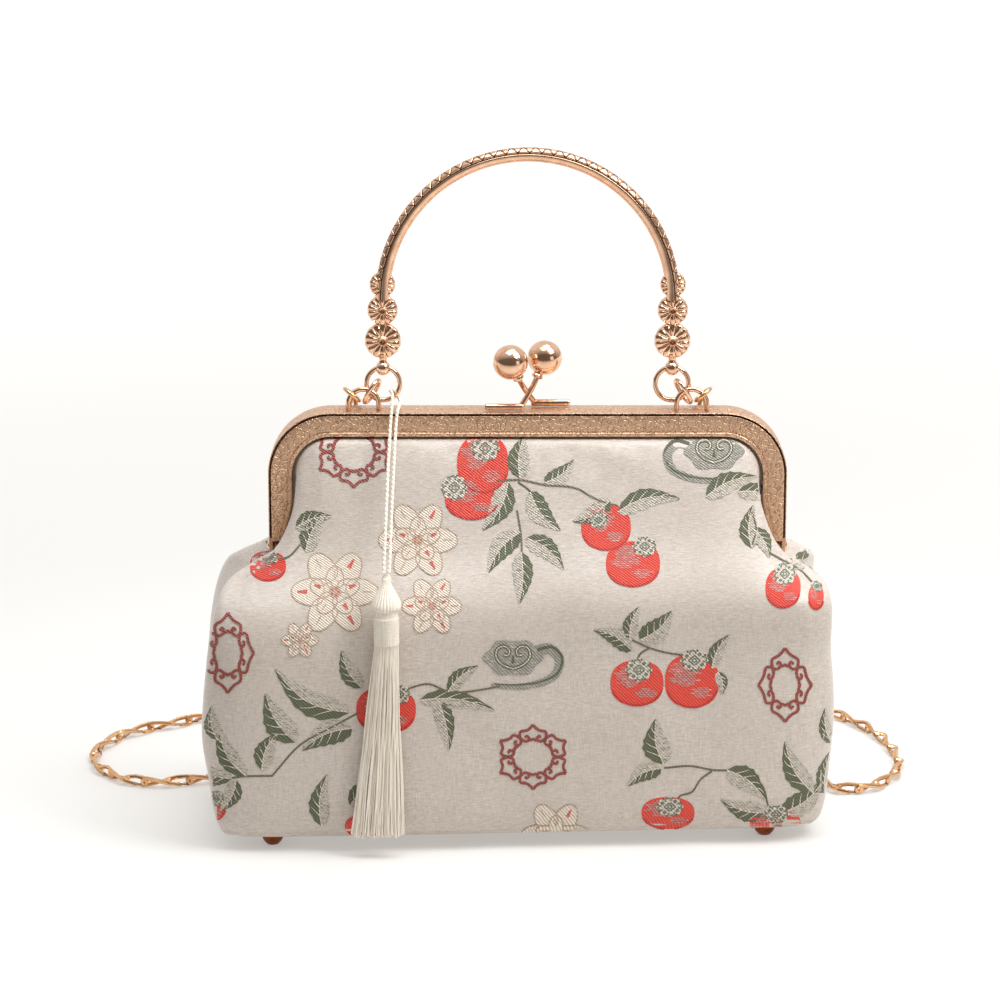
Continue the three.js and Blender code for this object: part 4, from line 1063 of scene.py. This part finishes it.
# Photo pixels along each twig
FRONT_TWIGS = [
    [(497, 481), (520, 480), (545, 485), (575, 488), (598, 500), (618, 506)],
    [(518, 482), (528, 489), (534, 497)], [(517, 510), (521, 535), (522, 556)],
    [(632, 640), (650, 648), (668, 653), (690, 656), (708, 660)], [(637, 660), (641, 653), (650, 648)],
    [(664, 768), (690, 766), (713, 770), (745, 772), (762, 785), (768, 806)],
    [(712, 771), (700, 780), (692, 792), (680, 796), (676, 802)],
    [(404, 690), (428, 684), (450, 692), (480, 690), (500, 686)],
    [(360, 712), (330, 728), (300, 745), (272, 776)], [(205, 790), (232, 778), (262, 776), (273, 776)],
    [(768, 552), (782, 560), (800, 570), (812, 582)], [(752, 545), (756, 530), (752, 512)],
    [(783, 806), (800, 798), (812, 792), (826, 792)], [(300, 545), (290, 556), (280, 560)],
]
# Photo pixel x and y, half width, half height, heads
FRONT_RINGS = [
    (354, 452, 12.6, 11.2, 6), (228, 653, 8.2, 12.6, 4), (533, 757, 12.0, 10.2, 6), (785, 685, 8.4, 11.6, 4),
]
# Photo pixel x and y, flip
FRONT_CLOUDS = [(513, 661, 1), (714, 455, -1)]
CLOUD_SIZE = 0.95
# Photo pixel x and y, size
FRONT_BLOSSOMS = [(418, 540, 0.95), (335, 592, 1.05), (432, 606, 0.72), (300, 640, 0.45), (556, 836, 0.85)]


def across_of(pixel_x):
    return (pixel_x - FRAME_PIXEL_X) * PIXEL


def below_of(pixel_y):
    return (pixel_y - FRAME_PIXEL_Y) * PIXEL


def weave_side(weaver, flip=1):
    """The whole repeat of figures, drawn on one broad side of the bag."""
    def put(x, y, turn=0):
        weaver.at(flip * across_of(x), below_of(y), turn if flip > 0 else 180 - turn)

    for x, y, side in FRONT_CLOUDS:
        weaver.at(flip * across_of(x), below_of(y), 0, CLOUD_SIZE, flip * side)
        scroll_cloud(weaver)
    for x, y, *form in FRONT_RINGS:
        put(x, y)
        cloud_ring(weaver, *form)
    for x, y, size in FRONT_BLOSSOMS:
        put(x, y)
        blossom(weaver, size)
    weaver.at(0, 0, 0, 1, flip)
    for twig in FRONT_TWIGS:
        weaver.line([(across_of(x), -below_of(y)) for x, y in twig], 0.62, TWIG, TWIG_LIFT, step=0.8)
    for x, y, turn, *form in FRONT_LEAVES:
        put(x, y, turn)
        leaf(weaver, *form)
    for x, y, *form in FRONT_PERSIMMONS:
        weaver.at(flip * across_of(x), below_of(y), 0, 1, flip)
        persimmon(weaver, *form)


def weave_all():
    tree = BVHTree.FromPolygons([Vector(p) for p in bag_points], bag_faces)
    for name, flip in (("woven_figures_front", 1), ("woven_figures_back", -1)):
        eye = camera_eye * [flip, flip, 1]
        weaver = Weaver(tree, eye, (flip, 0, 0), camera_up * [1, flip, 1], (0, 0, FRAME_TOP))
        weave_side(weaver, flip)
        weaver.object(name)


weave_all()


# Metal looks
def metal(name, light, dark, roughness):
    look = Look(name, Metallic=1.0, Roughness=roughness)
    haze = look.noise(0.25, 4, 0.6)
    fine = look.noise(4, 3, 0.6)
    look.shape("Base Color", look.mix(look.range(haze, 0.35, 0.7), light, dark))
    look.shape("Roughness", look.range(haze, 0.3, 0.7, roughness * 0.8, roughness * 1.35))
    look.shape("Normal", look.bump(fine, 0.02, 0.6))
    return look.material


def engraved_look():
    """Satin metal with a stamped scroll ground: rings round scattered centres, fine grain, painted shade in
    the scroll lines and short painted glints.
    """
    look = Look("engraved_rose_gold", Metallic=1.0, Roughness=0.36)
    where = look.place()
    warp = look.node("TexNoise", {"Vector": where, "Scale": 0.35, "Detail": 2.0}).outputs["Color"]
    bent = look.node("VectorMath", {0: where, 1: warp}, operation="ADD").outputs[0]
    cells = look.node("TexVoronoi", {"Vector": bent, "Scale": 0.42}).outputs["Distance"]
    scroll = look.math("SINE", look.times(cells, 17))
    line = look.range(scroll, 0.35, 0.95)
    grain = look.noise(3.4, 3, 0.65)
    painted_glint = look.noise((0.28, 0.28, 2.2), 2, 0.5, (0, 0.75, 0))
    base = look.mix(look.range(grain, 0.35, 0.68), srgb(206, 164, 132), srgb(240, 204, 172))
    # Painted shade: the scroll lines are darkened in colour to stand in for the shade in the engraved lines
    base = look.mix(look.times(line, 0.55), base, srgb(158, 114, 86))
    # Painted highlight: short bright diagonal strokes that stand in for glints on the satin metal
    base = look.mix(look.range(painted_glint, 0.68, 0.73, 0, 0.85), base, srgb(255, 232, 208))
    look.shape("Base Color", base)
    look.shape("Roughness", look.range(grain, 0.3, 0.7, 0.3, 0.5))
    low = look.bump(grain, 0.09, 0.9)
    look.shape("Normal", look.bump(look.minus(1.0, line), 0.12, 0.9, low))
    return look.material


# The handle's stamped crosses, in millimetres along the tube and from its outer line
STAMP_PITCH = 2.0
STAMP_SLOPE = 0.62
STAMP_BORDER = 3.35
STAMP_END = (3.5, 3.8)
STAMP_GROOVE = (0.16, 0.42)
STAMP_DEPTH = 0.22


def handle_look():
    """Polished tube whose outer half carries a stamped row of crosses, with painted shade in their grooves.
    """
    look = Look("stamped_rose_gold", Metallic=1.0, Roughness=0.2)
    uv = look.node("UVMap", uv_map="run").outputs[0]
    split = look.node("SeparateXYZ", {0: uv}).outputs
    outer = 0.75 * 2 * math.pi * HANDLE_TUBE_RADIUS
    along = look.math("PINGPONG", split["X"], STAMP_PITCH)
    around = look.math("ABSOLUTE", look.minus(split["Y"], outer))
    cross = look.math("ABSOLUTE", look.minus(along, look.times(around, STAMP_SLOPE)))
    border = look.math("ABSOLUTE", look.minus(around, STAMP_BORDER))
    grooves = look.range(look.math("MINIMUM", cross, border), *STAMP_GROOVE, 1, 0)
    cut = look.times(grooves, look.range(around, *STAMP_END, 1, 0))
    haze = look.noise(0.3, 4)
    base = look.mix(look.range(haze, 0.35, 0.7), srgb(236, 196, 166), srgb(216, 170, 138))
    # Painted shade: the stamped grooves are darkened in colour to stand in for the shade in them
    look.shape("Base Color", look.mix(look.times(cut, 0.9), base, srgb(96, 58, 40)))
    look.shape("Normal", look.bump(look.minus(1.0, cut), STAMP_DEPTH))
    return look.material


SATIN = engraved_look()
STAMPED = handle_look()
POLISHED = metal("polished_rose_gold", srgb(240, 200, 170), srgb(222, 176, 144), 0.12)
# Painted shade: a dark metal for the frame's groove faces, standing in for the shade in the groove
GROOVE_SHADE = metal("painted_groove_shade", srgb(92, 56, 38), srgb(58, 34, 24), 0.5)
CHAIN_GOLD = metal("chain_gold", srgb(236, 190, 144), srgb(212, 160, 114), 0.2)
COPPER = metal("dark_copper", srgb(150, 84, 46), srgb(104, 54, 30), 0.28)


# Metal frame: a U channel along the arch with a grooved edge, a crowned face and a plain inner rim
def leaf_outline(band, groove):
    """Pairs of inset from the outer edge and depth from the plane where the leaves meet."""
    far = LEAF_DEPTH
    return [
        (band, 0), (0.5, 0), (0.12, 0.12), (0, 0.45), (0, 1.4), (0, 4.6), (0, far - 0.6), (0.1, far - 0.28),
        (0.3, far - 0.16), (0.42, far - 0.3), (0.46, far - groove), (0.98, far - groove), (1.06, far - 0.12),
        (1.3, far), (1.6, far + 0.04), (0.5 * band, far + 0.06), (band - 1.9, far - 0.04),
        (band - 1.7, far - 0.22), (band - 1.5, far - 0.2), (band - 1.25, far + 0.06), (band - 0.5, far + 0.1),
        (band - 0.12, far - 0.05), (band, far - 0.3), (band, far - 0.85), (band - 0.15, far - 1),
        (1, far - 1), (1, 1), (band, 1),
    ]


# The outline's three edges that make the groove, and its depth at every other step
GROOVE_FACES = (9, 10, 11)
GROOVE_DEEP = 0.75
GROOVE_SHALLOW = 0.4


def hinge_lug(sign, outer_x):
    """The flat tongue at a leg's end that takes the rivet."""
    outline = [(-GAP / 2 - LEAF_DEPTH, FRAME_LEG_END + 1), (-LUG_SHOULDER, FRAME_LEG_END + 1)]
    start = math.acos(LUG_SHOULDER / LUG_RADIUS)
    for turn in np.linspace(math.pi - start, math.radians(-144), 22):
        outline.append((LUG_RADIUS * math.cos(turn), HINGE_Z + LUG_RADIUS * math.sin(turn)))
    outline.append((-GAP / 2 - LEAF_DEPTH, FRAME_LEG_END))
    count = len(outline)
    rows = []
    for depth, shrink in ((0, 0.94), (0.12, 1), (LUG_THICKNESS - 0.12, 1), (LUG_THICKNESS, 0.94)):
        middle = np.mean(outline, axis=0)
        for y, z in outline:
            rows.append((outer_x - depth, -sign * (middle[0] + (y - middle[0]) * shrink),
                         middle[1] + (z - middle[1]) * shrink))
    return outward((rows, capped_grid(4, count)))


def frame_leaf(sign):
    steps = int(ARCH_RUN / (GROOVE_PITCH / 2))
    runs = [ARCH_RUN * i / steps for i in range(-steps, steps + 1)]
    rows = []
    for i, run in enumerate(runs):
        side = -1 if run < 0 else 1
        groove = GROOVE_DEEP if i % 2 else GROOVE_SHALLOW
        for inset, depth in leaf_outline(band_at(abs(run)), groove):
            x, z = arch_point(abs(run), inset)
            rows.append((side * x, sign * (GAP / 2 + depth), z))
    count = len(leaf_outline(FRAME_BAND, 0))
    groove_faces = {r * count + c for r in range(len(runs) - 1) for c in GROOVE_FACES}
    lug = hinge_lug(sign, HALF_WIDTH - (LUG_THICKNESS + GAP if sign > 0 else 0))
    name = "frame_front" if sign < 0 else "frame_back"
    shape = joined(outward((rows, capped_grid(len(runs), count))), lug, mirrored(lug))
    piece = add_piece(name + "_engraved", shape, SATIN, [name], sharp=35)
    piece.data.materials.append(GROOVE_SHADE)
    if len(piece.data.polygons) != len(shape[1]):
        raise ValueError("the frame leaf has a face of no area")
    # The groove faces take the dark painted-shade metal
    for i in groove_faces:
        piece.data.polygons[i].material_index = 1


frame_leaf(-1)
frame_leaf(1)


# Round wire and turned hardware
def oval_path(half_width, half_length, count=48):
    turn = np.linspace(0, 2 * math.pi, count, endpoint=False)
    lift = np.tanh(8 * np.sin(turn)) * (half_length - half_width)
    return np.stack([half_width * np.cos(turn), 0 * turn, half_width * np.sin(turn) + lift], axis=1)


def side_pairs(name, shape, material):
    add_piece(name + "_right_wire", shape, material, [name + "_right"])
    add_piece(name + "_left_wire", mirrored(shape), material, [name + "_left"])


def handle_ring():
    ring = sweep(oval_path(RING_RADIUS, RING_RADIUS, 64), RING_WIRE, 14, True)
    return moved(ring, HANDLE_HALF_SPAN, 0, RING_Z)


def ear():
    turn = np.radians(np.arange(0, 181, 7.5))
    arch = np.stack([EAR_RADIUS * np.cos(turn), 0 * turn, EAR_Z + EAR_RADIUS * np.sin(turn)], axis=1)
    foot_right = np.array([[EAR_RADIUS, 0, FRAME_TOP + GAP / 3], [EAR_RADIUS, 0, EAR_Z - 1]])
    foot_left = foot_right[::-1] * [-1, 1, 1]
    return moved(sweep(np.concatenate([foot_right, arch, foot_left]), EAR_WIRE, 14), EAR_X, EAR_Y)


def connecting_link():
    points = turned(turned(oval_path(LINK_HALF_WIDTH, LINK_HALF_LENGTH), LINK_TILT, "x"), LINK_TURN, "z")
    x, y, z = LINK_OFFSET
    return moved(sweep(points, LINK_WIRE, 12, True), HANDLE_HALF_SPAN + x, y, FRAME_TOP + z)


def chain_end():
    across = np.array([math.cos(CHAIN_END_ANGLE), 0, math.sin(CHAIN_END_ANGLE)])
    lengthways = np.array([0, -math.cos(CHAIN_END_DROOP), math.sin(CHAIN_END_DROOP)])
    tangent = unit(np.cross(across, lengthways))
    wide = unit(np.cross(lengthways, tangent))
    points = oval_path(CHAIN_END_HALF_WIDTH, CHAIN_END_HALF_LENGTH) @ np.array([wide, -tangent, lengthways])
    room = EAR_WIRE + CHAIN_END_WIRE + GAP - CHAIN_END_HALF_LENGTH
    shoulder = np.array([EAR_X + EAR_RADIUS * across[0], EAR_Y, EAR_Z + EAR_RADIUS * across[2]])
    return sweep(points + shoulder + lengthways * room, CHAIN_END_WIRE, 12, True)


side_pairs("handle_ring", handle_ring(), POLISHED)
side_pairs("ear", ear(), POLISHED)
side_pairs("link", connecting_link(), POLISHED)
side_pairs("chain_end", chain_end(), CHAIN_GOLD)


def rivet():
    """Pairs of radius and place along X make the rivet, its flat inner head first."""
    inner = HALF_WIDTH - 2 * (LUG_THICKNESS + GAP)
    outer = HALF_WIDTH + GAP
    profile = [
        (0, inner - RIVET_HEAD_HEIGHT), (1.5, inner - RIVET_HEAD_HEIGHT), (RIVET_HEAD_RADIUS, inner - 0.45),
        (RIVET_HEAD_RADIUS, inner), (RIVET_RADIUS, inner), (RIVET_RADIUS, outer), (RIVET_HEAD_RADIUS, outer),
        (RIVET_HEAD_RADIUS - 0.1, outer + 0.3), (1.3, outer + 0.7), (0.5, outer + 0.86), (0, outer + 0.88),
    ]
    shape = lathe(profile, 28)
    return moved(remapped(shape, [(0, 1, 0), (0, 0, 1), (1, 0, 0)]), 0, 0, HINGE_Z)


side_pairs("hinge_rivet", rivet(), POLISHED)


# Ball clasp: a rod on the leaf, a bent stem with a collar, and the ball
CLASP_BALL_RADIUS = 6.05
CLASP_BALL = np.array([5.95, 4.05, FRAME_TOP + 17.3])
CLASP_ROD_RADIUS = 1.2
CLASP_ROD_Y = 3.7


def ball(radius, centre, segments=48):
    turns = np.linspace(0, math.pi, segments // 2 + 1)
    profile = [(radius * math.sin(turn), -radius * math.cos(turn)) for turn in turns]
    return moved(lathe(profile, segments), *centre)


def clasp_half():
    rod_z = FRAME_TOP + GAP + CLASP_ROD_RADIUS
    foot = np.array([-1.3 - CLASP_ROD_RADIUS, -CLASP_ROD_Y, rod_z])
    ends = np.array([-14.8, -14.6, -14.2, -1.9, -1.5, -1.3])
    radii = np.array([0.85, 1.1, CLASP_ROD_RADIUS, CLASP_ROD_RADIUS, 1.1, 0.85])
    rod = sweep(np.stack([ends, 0 * ends - CLASP_ROD_Y, 0 * ends + rod_z], axis=1), radii, 24)
    bow = between(foot, CLASP_BALL, 0.4) + [0.7, -0.7, 0]
    path = resampled(smooth_route([foot, bow, CLASP_BALL], 16), 40)
    from_ball = np.linalg.norm(path - CLASP_BALL, axis=1) - CLASP_BALL_RADIUS
    radius = np.where(from_ball < 1.9, 1.75 - 0.25 * np.clip(from_ball, 0, 2), 1.0)
    radius = np.where((from_ball > 0.9) & (from_ball < 1.6), 2.0, radius)
    return joined(rod, sweep(path, radius, 24), ball(CLASP_BALL_RADIUS, CLASP_BALL))


clasp = clasp_half()
for name, way in (("clasp_front", 1), ("clasp_back", -1)):
    half = (clasp[0] * [way, way, 1], clasp[1])
    add_piece(name + "_ball", half, POLISHED, [name])


# Handle: stamped arch, three fluted rosettes and a bored end ball on each side
def rosette(radius, z):
    """A fluted disc facing front and back, with a pierced boss in its middle."""
    # Shares of the radius, and of the half depth there
    shares = (0, 0.07, 0.1, 0.13, 0.2, 0.24, 0.28, 0.36, 0.5, 0.65, 0.78, 0.86, 0.91, 0.96, 1)
    heights = (0.5, 0.5, 0.62, 0.95, 0.98, 0.86, 0.7, 0.76, 0.84, 0.84, 0.74, 0.62, 0.6, 0.45, 0)
    sides = ROSETTE_PETALS * 8

    def ring(share, height, face):
        points = []
        for i in range(sides):
            turn = 2 * math.pi * i / sides
            petal = abs(math.sin(ROSETTE_PETALS * turn / 2)) ** 0.7
            window = 1 if 0.3 < share < 0.88 else 0
            scallop = 1 - 0.025 * (1 - petal) * (share > 0.85)
            reach = radius * share * scallop
            depth = ROSETTE_DEPTH / 2 * (height - 0.17 * window * (1 - petal))
            points.append((reach * math.cos(turn), face * depth, reach * math.sin(turn)))
        return points

    rings = [ring(s, h, -1) for s, h in zip(shares[1:], heights[1:])]
    rings += [ring(s, h, 1) for s, h in list(zip(shares, heights))[-2:0:-1]]
    disc = fanned(rings, (0, -ROSETTE_DEPTH / 4, 0), (0, ROSETTE_DEPTH / 4, 0))
    return moved(disc, HANDLE_HALF_SPAN, 0, z)


def bead():
    """The end ball, bored along X for the ring."""
    half = math.sqrt(HANDLE_BALL_RADIUS ** 2 - RING_BORE ** 2)
    start = math.acos(half / HANDLE_BALL_RADIUS)
    outline = [(HANDLE_BALL_RADIUS * math.cos(a), HANDLE_BALL_RADIUS * math.sin(a))
               for a in np.linspace(start, math.pi - start, 16)]
    outline += [(x, RING_BORE) for x in np.linspace(-half, half, 8)[1:-1]]
    sides = 36
    points = []
    for x, radius in outline:
        for i in range(sides):
            turn = 2 * math.pi * i / sides
            points.append((x, radius * math.cos(turn), radius * math.sin(turn)))
    shape = outward((points, grid_faces(len(outline), sides, True)))
    return moved(shape, HANDLE_HALF_SPAN, 0, AXIS_Z)


def handle_side():
    z = AXIS_Z + HANDLE_BALL_RADIUS + HANDLE_NECK_LENGTH
    shapes = [bead()]
    for i, radius in enumerate(ROSETTE_RADII):
        if i == 0:
            neck = [(HANDLE_HALF_SPAN, 0, h) for h in np.linspace(AXIS_Z + 2.1, z + 1.5, 6)]
            shapes.append(sweep(neck, [1.5, 1.35, 1.3, 1.5, 2.0, 2.2], 24))
        shapes.append(rosette(radius, z + radius))
        z += 2 * radius - ROSETTE_OVERLAP
    return joined(*shapes)


def handle():
    turn = np.linspace(0, math.pi, 181)
    height = AXIS_Z + HANDLE_STRAIGHT + HANDLE_HALF_SPAN * np.sin(turn)
    arc = np.stack([HANDLE_HALF_SPAN * np.cos(turn), 0 * turn, height], axis=1)
    sides = 28
    girth = 2 * math.pi * HANDLE_TUBE_RADIUS
    arch = sweep(arc, HANDLE_TUBE_RADIUS, sides)
    side = handle_side()
    shape = joined(arch, side, mirrored(side))
    piece = add_piece("handle_stamped", shape, STAMPED, ["handle"], "handle", 50)
    piece.data.materials.append(POLISHED)
    arch_faces = len(arch[1])
    layer = piece.data.uv_layers.new(name="run")
    step = HANDLE_HALF_SPAN * math.pi / 180
    for polygon in piece.data.polygons:
        if polygon.index >= arch_faces:
            polygon.material_index = 1
            continue
        for loop in polygon.loop_indices:
            vertex = piece.data.loops[loop].vertex_index
            layer.data[loop].uv = (vertex // sides * step, vertex % sides * girth / sides)


handle()


# Feet
def foot(name):
    low, high = (np.array(corner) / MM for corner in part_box(name))
    height = high[2] - low[2]
    # Radius, height
    profile = [(0, 0), (1.9, 0), (2.15, 0.08), (2.5, 0.5), (3.2, 0.27 * height), (3.7, 0.5 * height),
               (4, 0.82 * height), (4, 0.95 * height), (3.8, height), (0, height)]
    centre = (low + high) / 2 - ORIGIN
    dome = moved(lathe(profile, 40), centre[0], centre[1])
    add_piece(name + "_dome", dome, COPPER, [name])


for row in ("front", "back"):
    for side in ("left", "right"):
        foot(f"foot_{row}_{side}")


# Chain: twisted oval links, each passing through the next
def chain():
    path = smooth_route(CHAIN_ROUTE, 10)
    count = round(length_of(path) / CHAIN_PITCH)
    marks = resampled(path, count + 1)
    fine = resampled(path, 8 * count + 1)
    tangent, normal, side = path_frames(fine)
    half_length = length_of(path) / count / 2 + CHAIN_WIRE
    half_width = CHAIN_RADIUS - CHAIN_WIRE
    turn = np.linspace(0, 2 * math.pi, 24, endpoint=False)
    flat_x = half_width * np.cos(turn)
    flat_z = half_width * np.sin(turn) + np.tanh(6 * np.sin(turn)) * (half_length - half_width)
    shapes = []
    for i in range(count):
        at = 8 * i + 4
        twist = math.radians(45 + 90 * (i % 2)) + CHAIN_TWIST * (flat_z / half_length)
        a, b = flat_x * np.cos(twist), flat_x * np.sin(twist)
        middle = (marks[i] + marks[i + 1]) / 2
        points = middle + a[:, None] * normal[at] + b[:, None] * side[at] + flat_z[:, None] * tangent[at]
        shapes.append(sweep(points, CHAIN_WIRE, 8, True))
    return joined(*shapes)


add_piece("chain_links", chain(), CHAIN_GOLD, ["chain_left", "chain_right"])


# Tassel: knot, gathered head, wrapped band and fringe
def tassel():
    head_z = TASSEL_TOP - TASSEL_KNOT_RADIUS
    band_z = head_z - TASSEL_HEAD_LENGTH
    fringe_z = band_z - TASSEL_BAND_LENGTH
    end_z = fringe_z - TASSEL_FRINGE_LENGTH
    shapes = [ball(TASSEL_KNOT_RADIUS, (0, TASSEL_KNOT_Y, head_z), 20)]
    # Radius, height above the band
    head = [(0, 12.6), (1.2, 12.5), (1.5, 11.2), (2.2, 9.6), (3.4, 7.6), (4.4, 5.6), (4.85, 4.2), (4.9, 3.3),
            (4.55, 2.5), (3.9, 2.0), (3.85, 0.6), (3.95, -0.4), (0, -0.6)]

    def flutes(turn, z):
        """Deep flutes on the head, twice as many shallow ones below it."""
        if z > 2.1:
            return 1 + 0.045 * math.cos(TASSEL_FLUTES * turn)
        return 1 + 0.01 * math.cos(2 * TASSEL_FLUTES * turn)

    gathered = lathe(head, 6 * TASSEL_FLUTES, flutes)
    lean = np.clip(gathered[0][:, 2] / TASSEL_HEAD_LENGTH, -0.1, 1.1)
    gathered[0][:, 1] += lean * (TASSEL_HEAD_Y - TASSEL_BAND_Y) * 0.8
    shapes.append(moved(gathered, 0, TASSEL_BAND_Y, band_z))
    band = [(0, 0)]
    steps = TASSEL_WRAPS * 4
    for k in range(steps + 1):
        radius = TASSEL_BAND_RADIUS + 0.08 * math.cos(math.pi * k / 2) - 0.25 * (k in (0, steps))
        band.append((radius, TASSEL_BAND_LENGTH * k / steps))
    band.append((0, TASSEL_BAND_LENGTH))
    shapes.append(moved(lathe(band, 40), 0, TASSEL_BAND_Y, fringe_z))
    for k in range(TASSEL_STRANDS):
        turn = k * GOLDEN_ANGLE
        reach = math.sqrt((k + 0.5) / TASSEL_STRANDS)
        stray = random.random()
        x_top = 3.9 * reach * math.cos(turn)
        y_top = TASSEL_BAND_Y + 3.6 * reach * math.sin(turn)
        wide = TASSEL_END_HALF_WIDTH + (2.4 if stray > 0.975 else 0)
        x_end = wide * reach * math.cos(turn) - TASSEL_SKEW + random.uniform(-0.7, 0.7)
        y_end = TASSEL_END_Y + 2.3 * reach * math.sin(turn) + random.uniform(-0.3, 0.3)
        stop = end_z + random.uniform(-0.2, 2.2) + (4 if stray < 0.03 else 0)
        wave = random.uniform(-0.5, 0.5)
        keys = [
            (x_top, y_top, fringe_z + 1.5),
            (0.97 * x_top + 0.03 * x_end, y_top, fringe_z - 2),
            (between(x_top, x_end, 0.3) + wave, between(y_top, y_end, 0.35), between(fringe_z, end_z, 0.33)),
            (between(x_top, x_end, 0.68) - wave, between(y_top, y_end, 0.75), between(fringe_z, end_z, 0.68)),
            (x_end, y_end, stop),
        ]
        shapes.append(sweep(smooth_route(keys, 3), random.uniform(0.24, 0.36), 5))
    return moved(joined(*shapes), TASSEL_X)


add_piece("tassel_fringe", tassel(), THREAD, ["tassel"], sharp=60)


# Stage: pale floor, soft lights and a bright room
FLOOR_HALF_SIZE = 12000


def add_floor():
    look = Look("pale_floor", Roughness=0.8)
    split = look.axes()
    ahead = look.range(split["Y"], -1000, -280)
    squares = (look.math("POWER", split[axis], 2) for axis in ("X", "Y"))
    reach = look.math("SQRT", look.plus(*squares))
    glow = look.times(look.range(reach, 350, 1400, 0.34, 0.8), ahead)
    look.shape("Base Color", look.mix(ahead, srgb(104, 99, 94), srgb(190, 188, 184)))
    look.shader.inputs["Emission Color"].default_value = (1, 0.985, 0.96, 1)
    look.shape("Emission Strength", glow)
    half = FLOOR_HALF_SIZE * MM
    corners = [(-half, -half, 0), (half, -half, 0), (half, half, 0), (-half, half, 0)]
    mesh = bpy.data.meshes.new("floor")
    mesh.from_pydata(corners, [], [(0, 1, 2, 3)])
    mesh.materials.append(look.material)
    floor = bpy.data.objects.new("floor", mesh)
    bpy.context.scene.collection.objects.link(floor)


def add_light(name, place, aim, power, width, height, color):
    data = bpy.data.lights.new(name, "AREA")
    data.shape = "RECTANGLE"
    data.size = width * MM
    data.size_y = height * MM
    data.energy = power
    data.color = color
    light = bpy.data.objects.new(name, data)
    light.location = (np.array(place) + ORIGIN) * MM
    towards = Vector(aim) - Vector(place)
    light.rotation_euler = towards.to_track_quat("-Z", "Y").to_euler()
    bpy.context.scene.collection.objects.link(light)


def add_world():
    world = bpy.data.worlds.new("bright_room")
    bpy.context.scene.world = world
    world.use_nodes = True
    room = Nodes(world.node_tree)
    split = room.node("SeparateXYZ", {0: room.node("TexCoord").outputs["Generated"]}).outputs
    level = room.math("MULTIPLY_ADD", split["Z"], 0.75, room.times(split["Y"], 0.5))
    ramp = room.node("ValToRGB", {0: level})
    dark, bright = ramp.color_ramp.elements
    dark.position = 0.0
    dark.color = (0.16, 0.145, 0.13, 1)
    bright.position = 0.6
    bright.color = (0.92, 0.92, 0.92, 1)
    room.feed(room.tree.nodes["Background"].inputs["Color"], ramp.outputs[0])


add_floor()
add_world()
# Name, place, aim, watts, width, height and colour
add_light("key", (430, -230, 700), (0, -10, 90), 4.0, 360, 360, (0.97, 0.985, 1))
add_light("top", (40, -60, 760), (0, 0, 110), 3.1, 520, 300, (0.96, 0.98, 1))
add_light("side", (620, -520, 220), (0, 0, 80), 0.3, 300, 300, (1, 0.95, 0.9))
bpy.context.scene.view_settings.view_transform = "Standard"
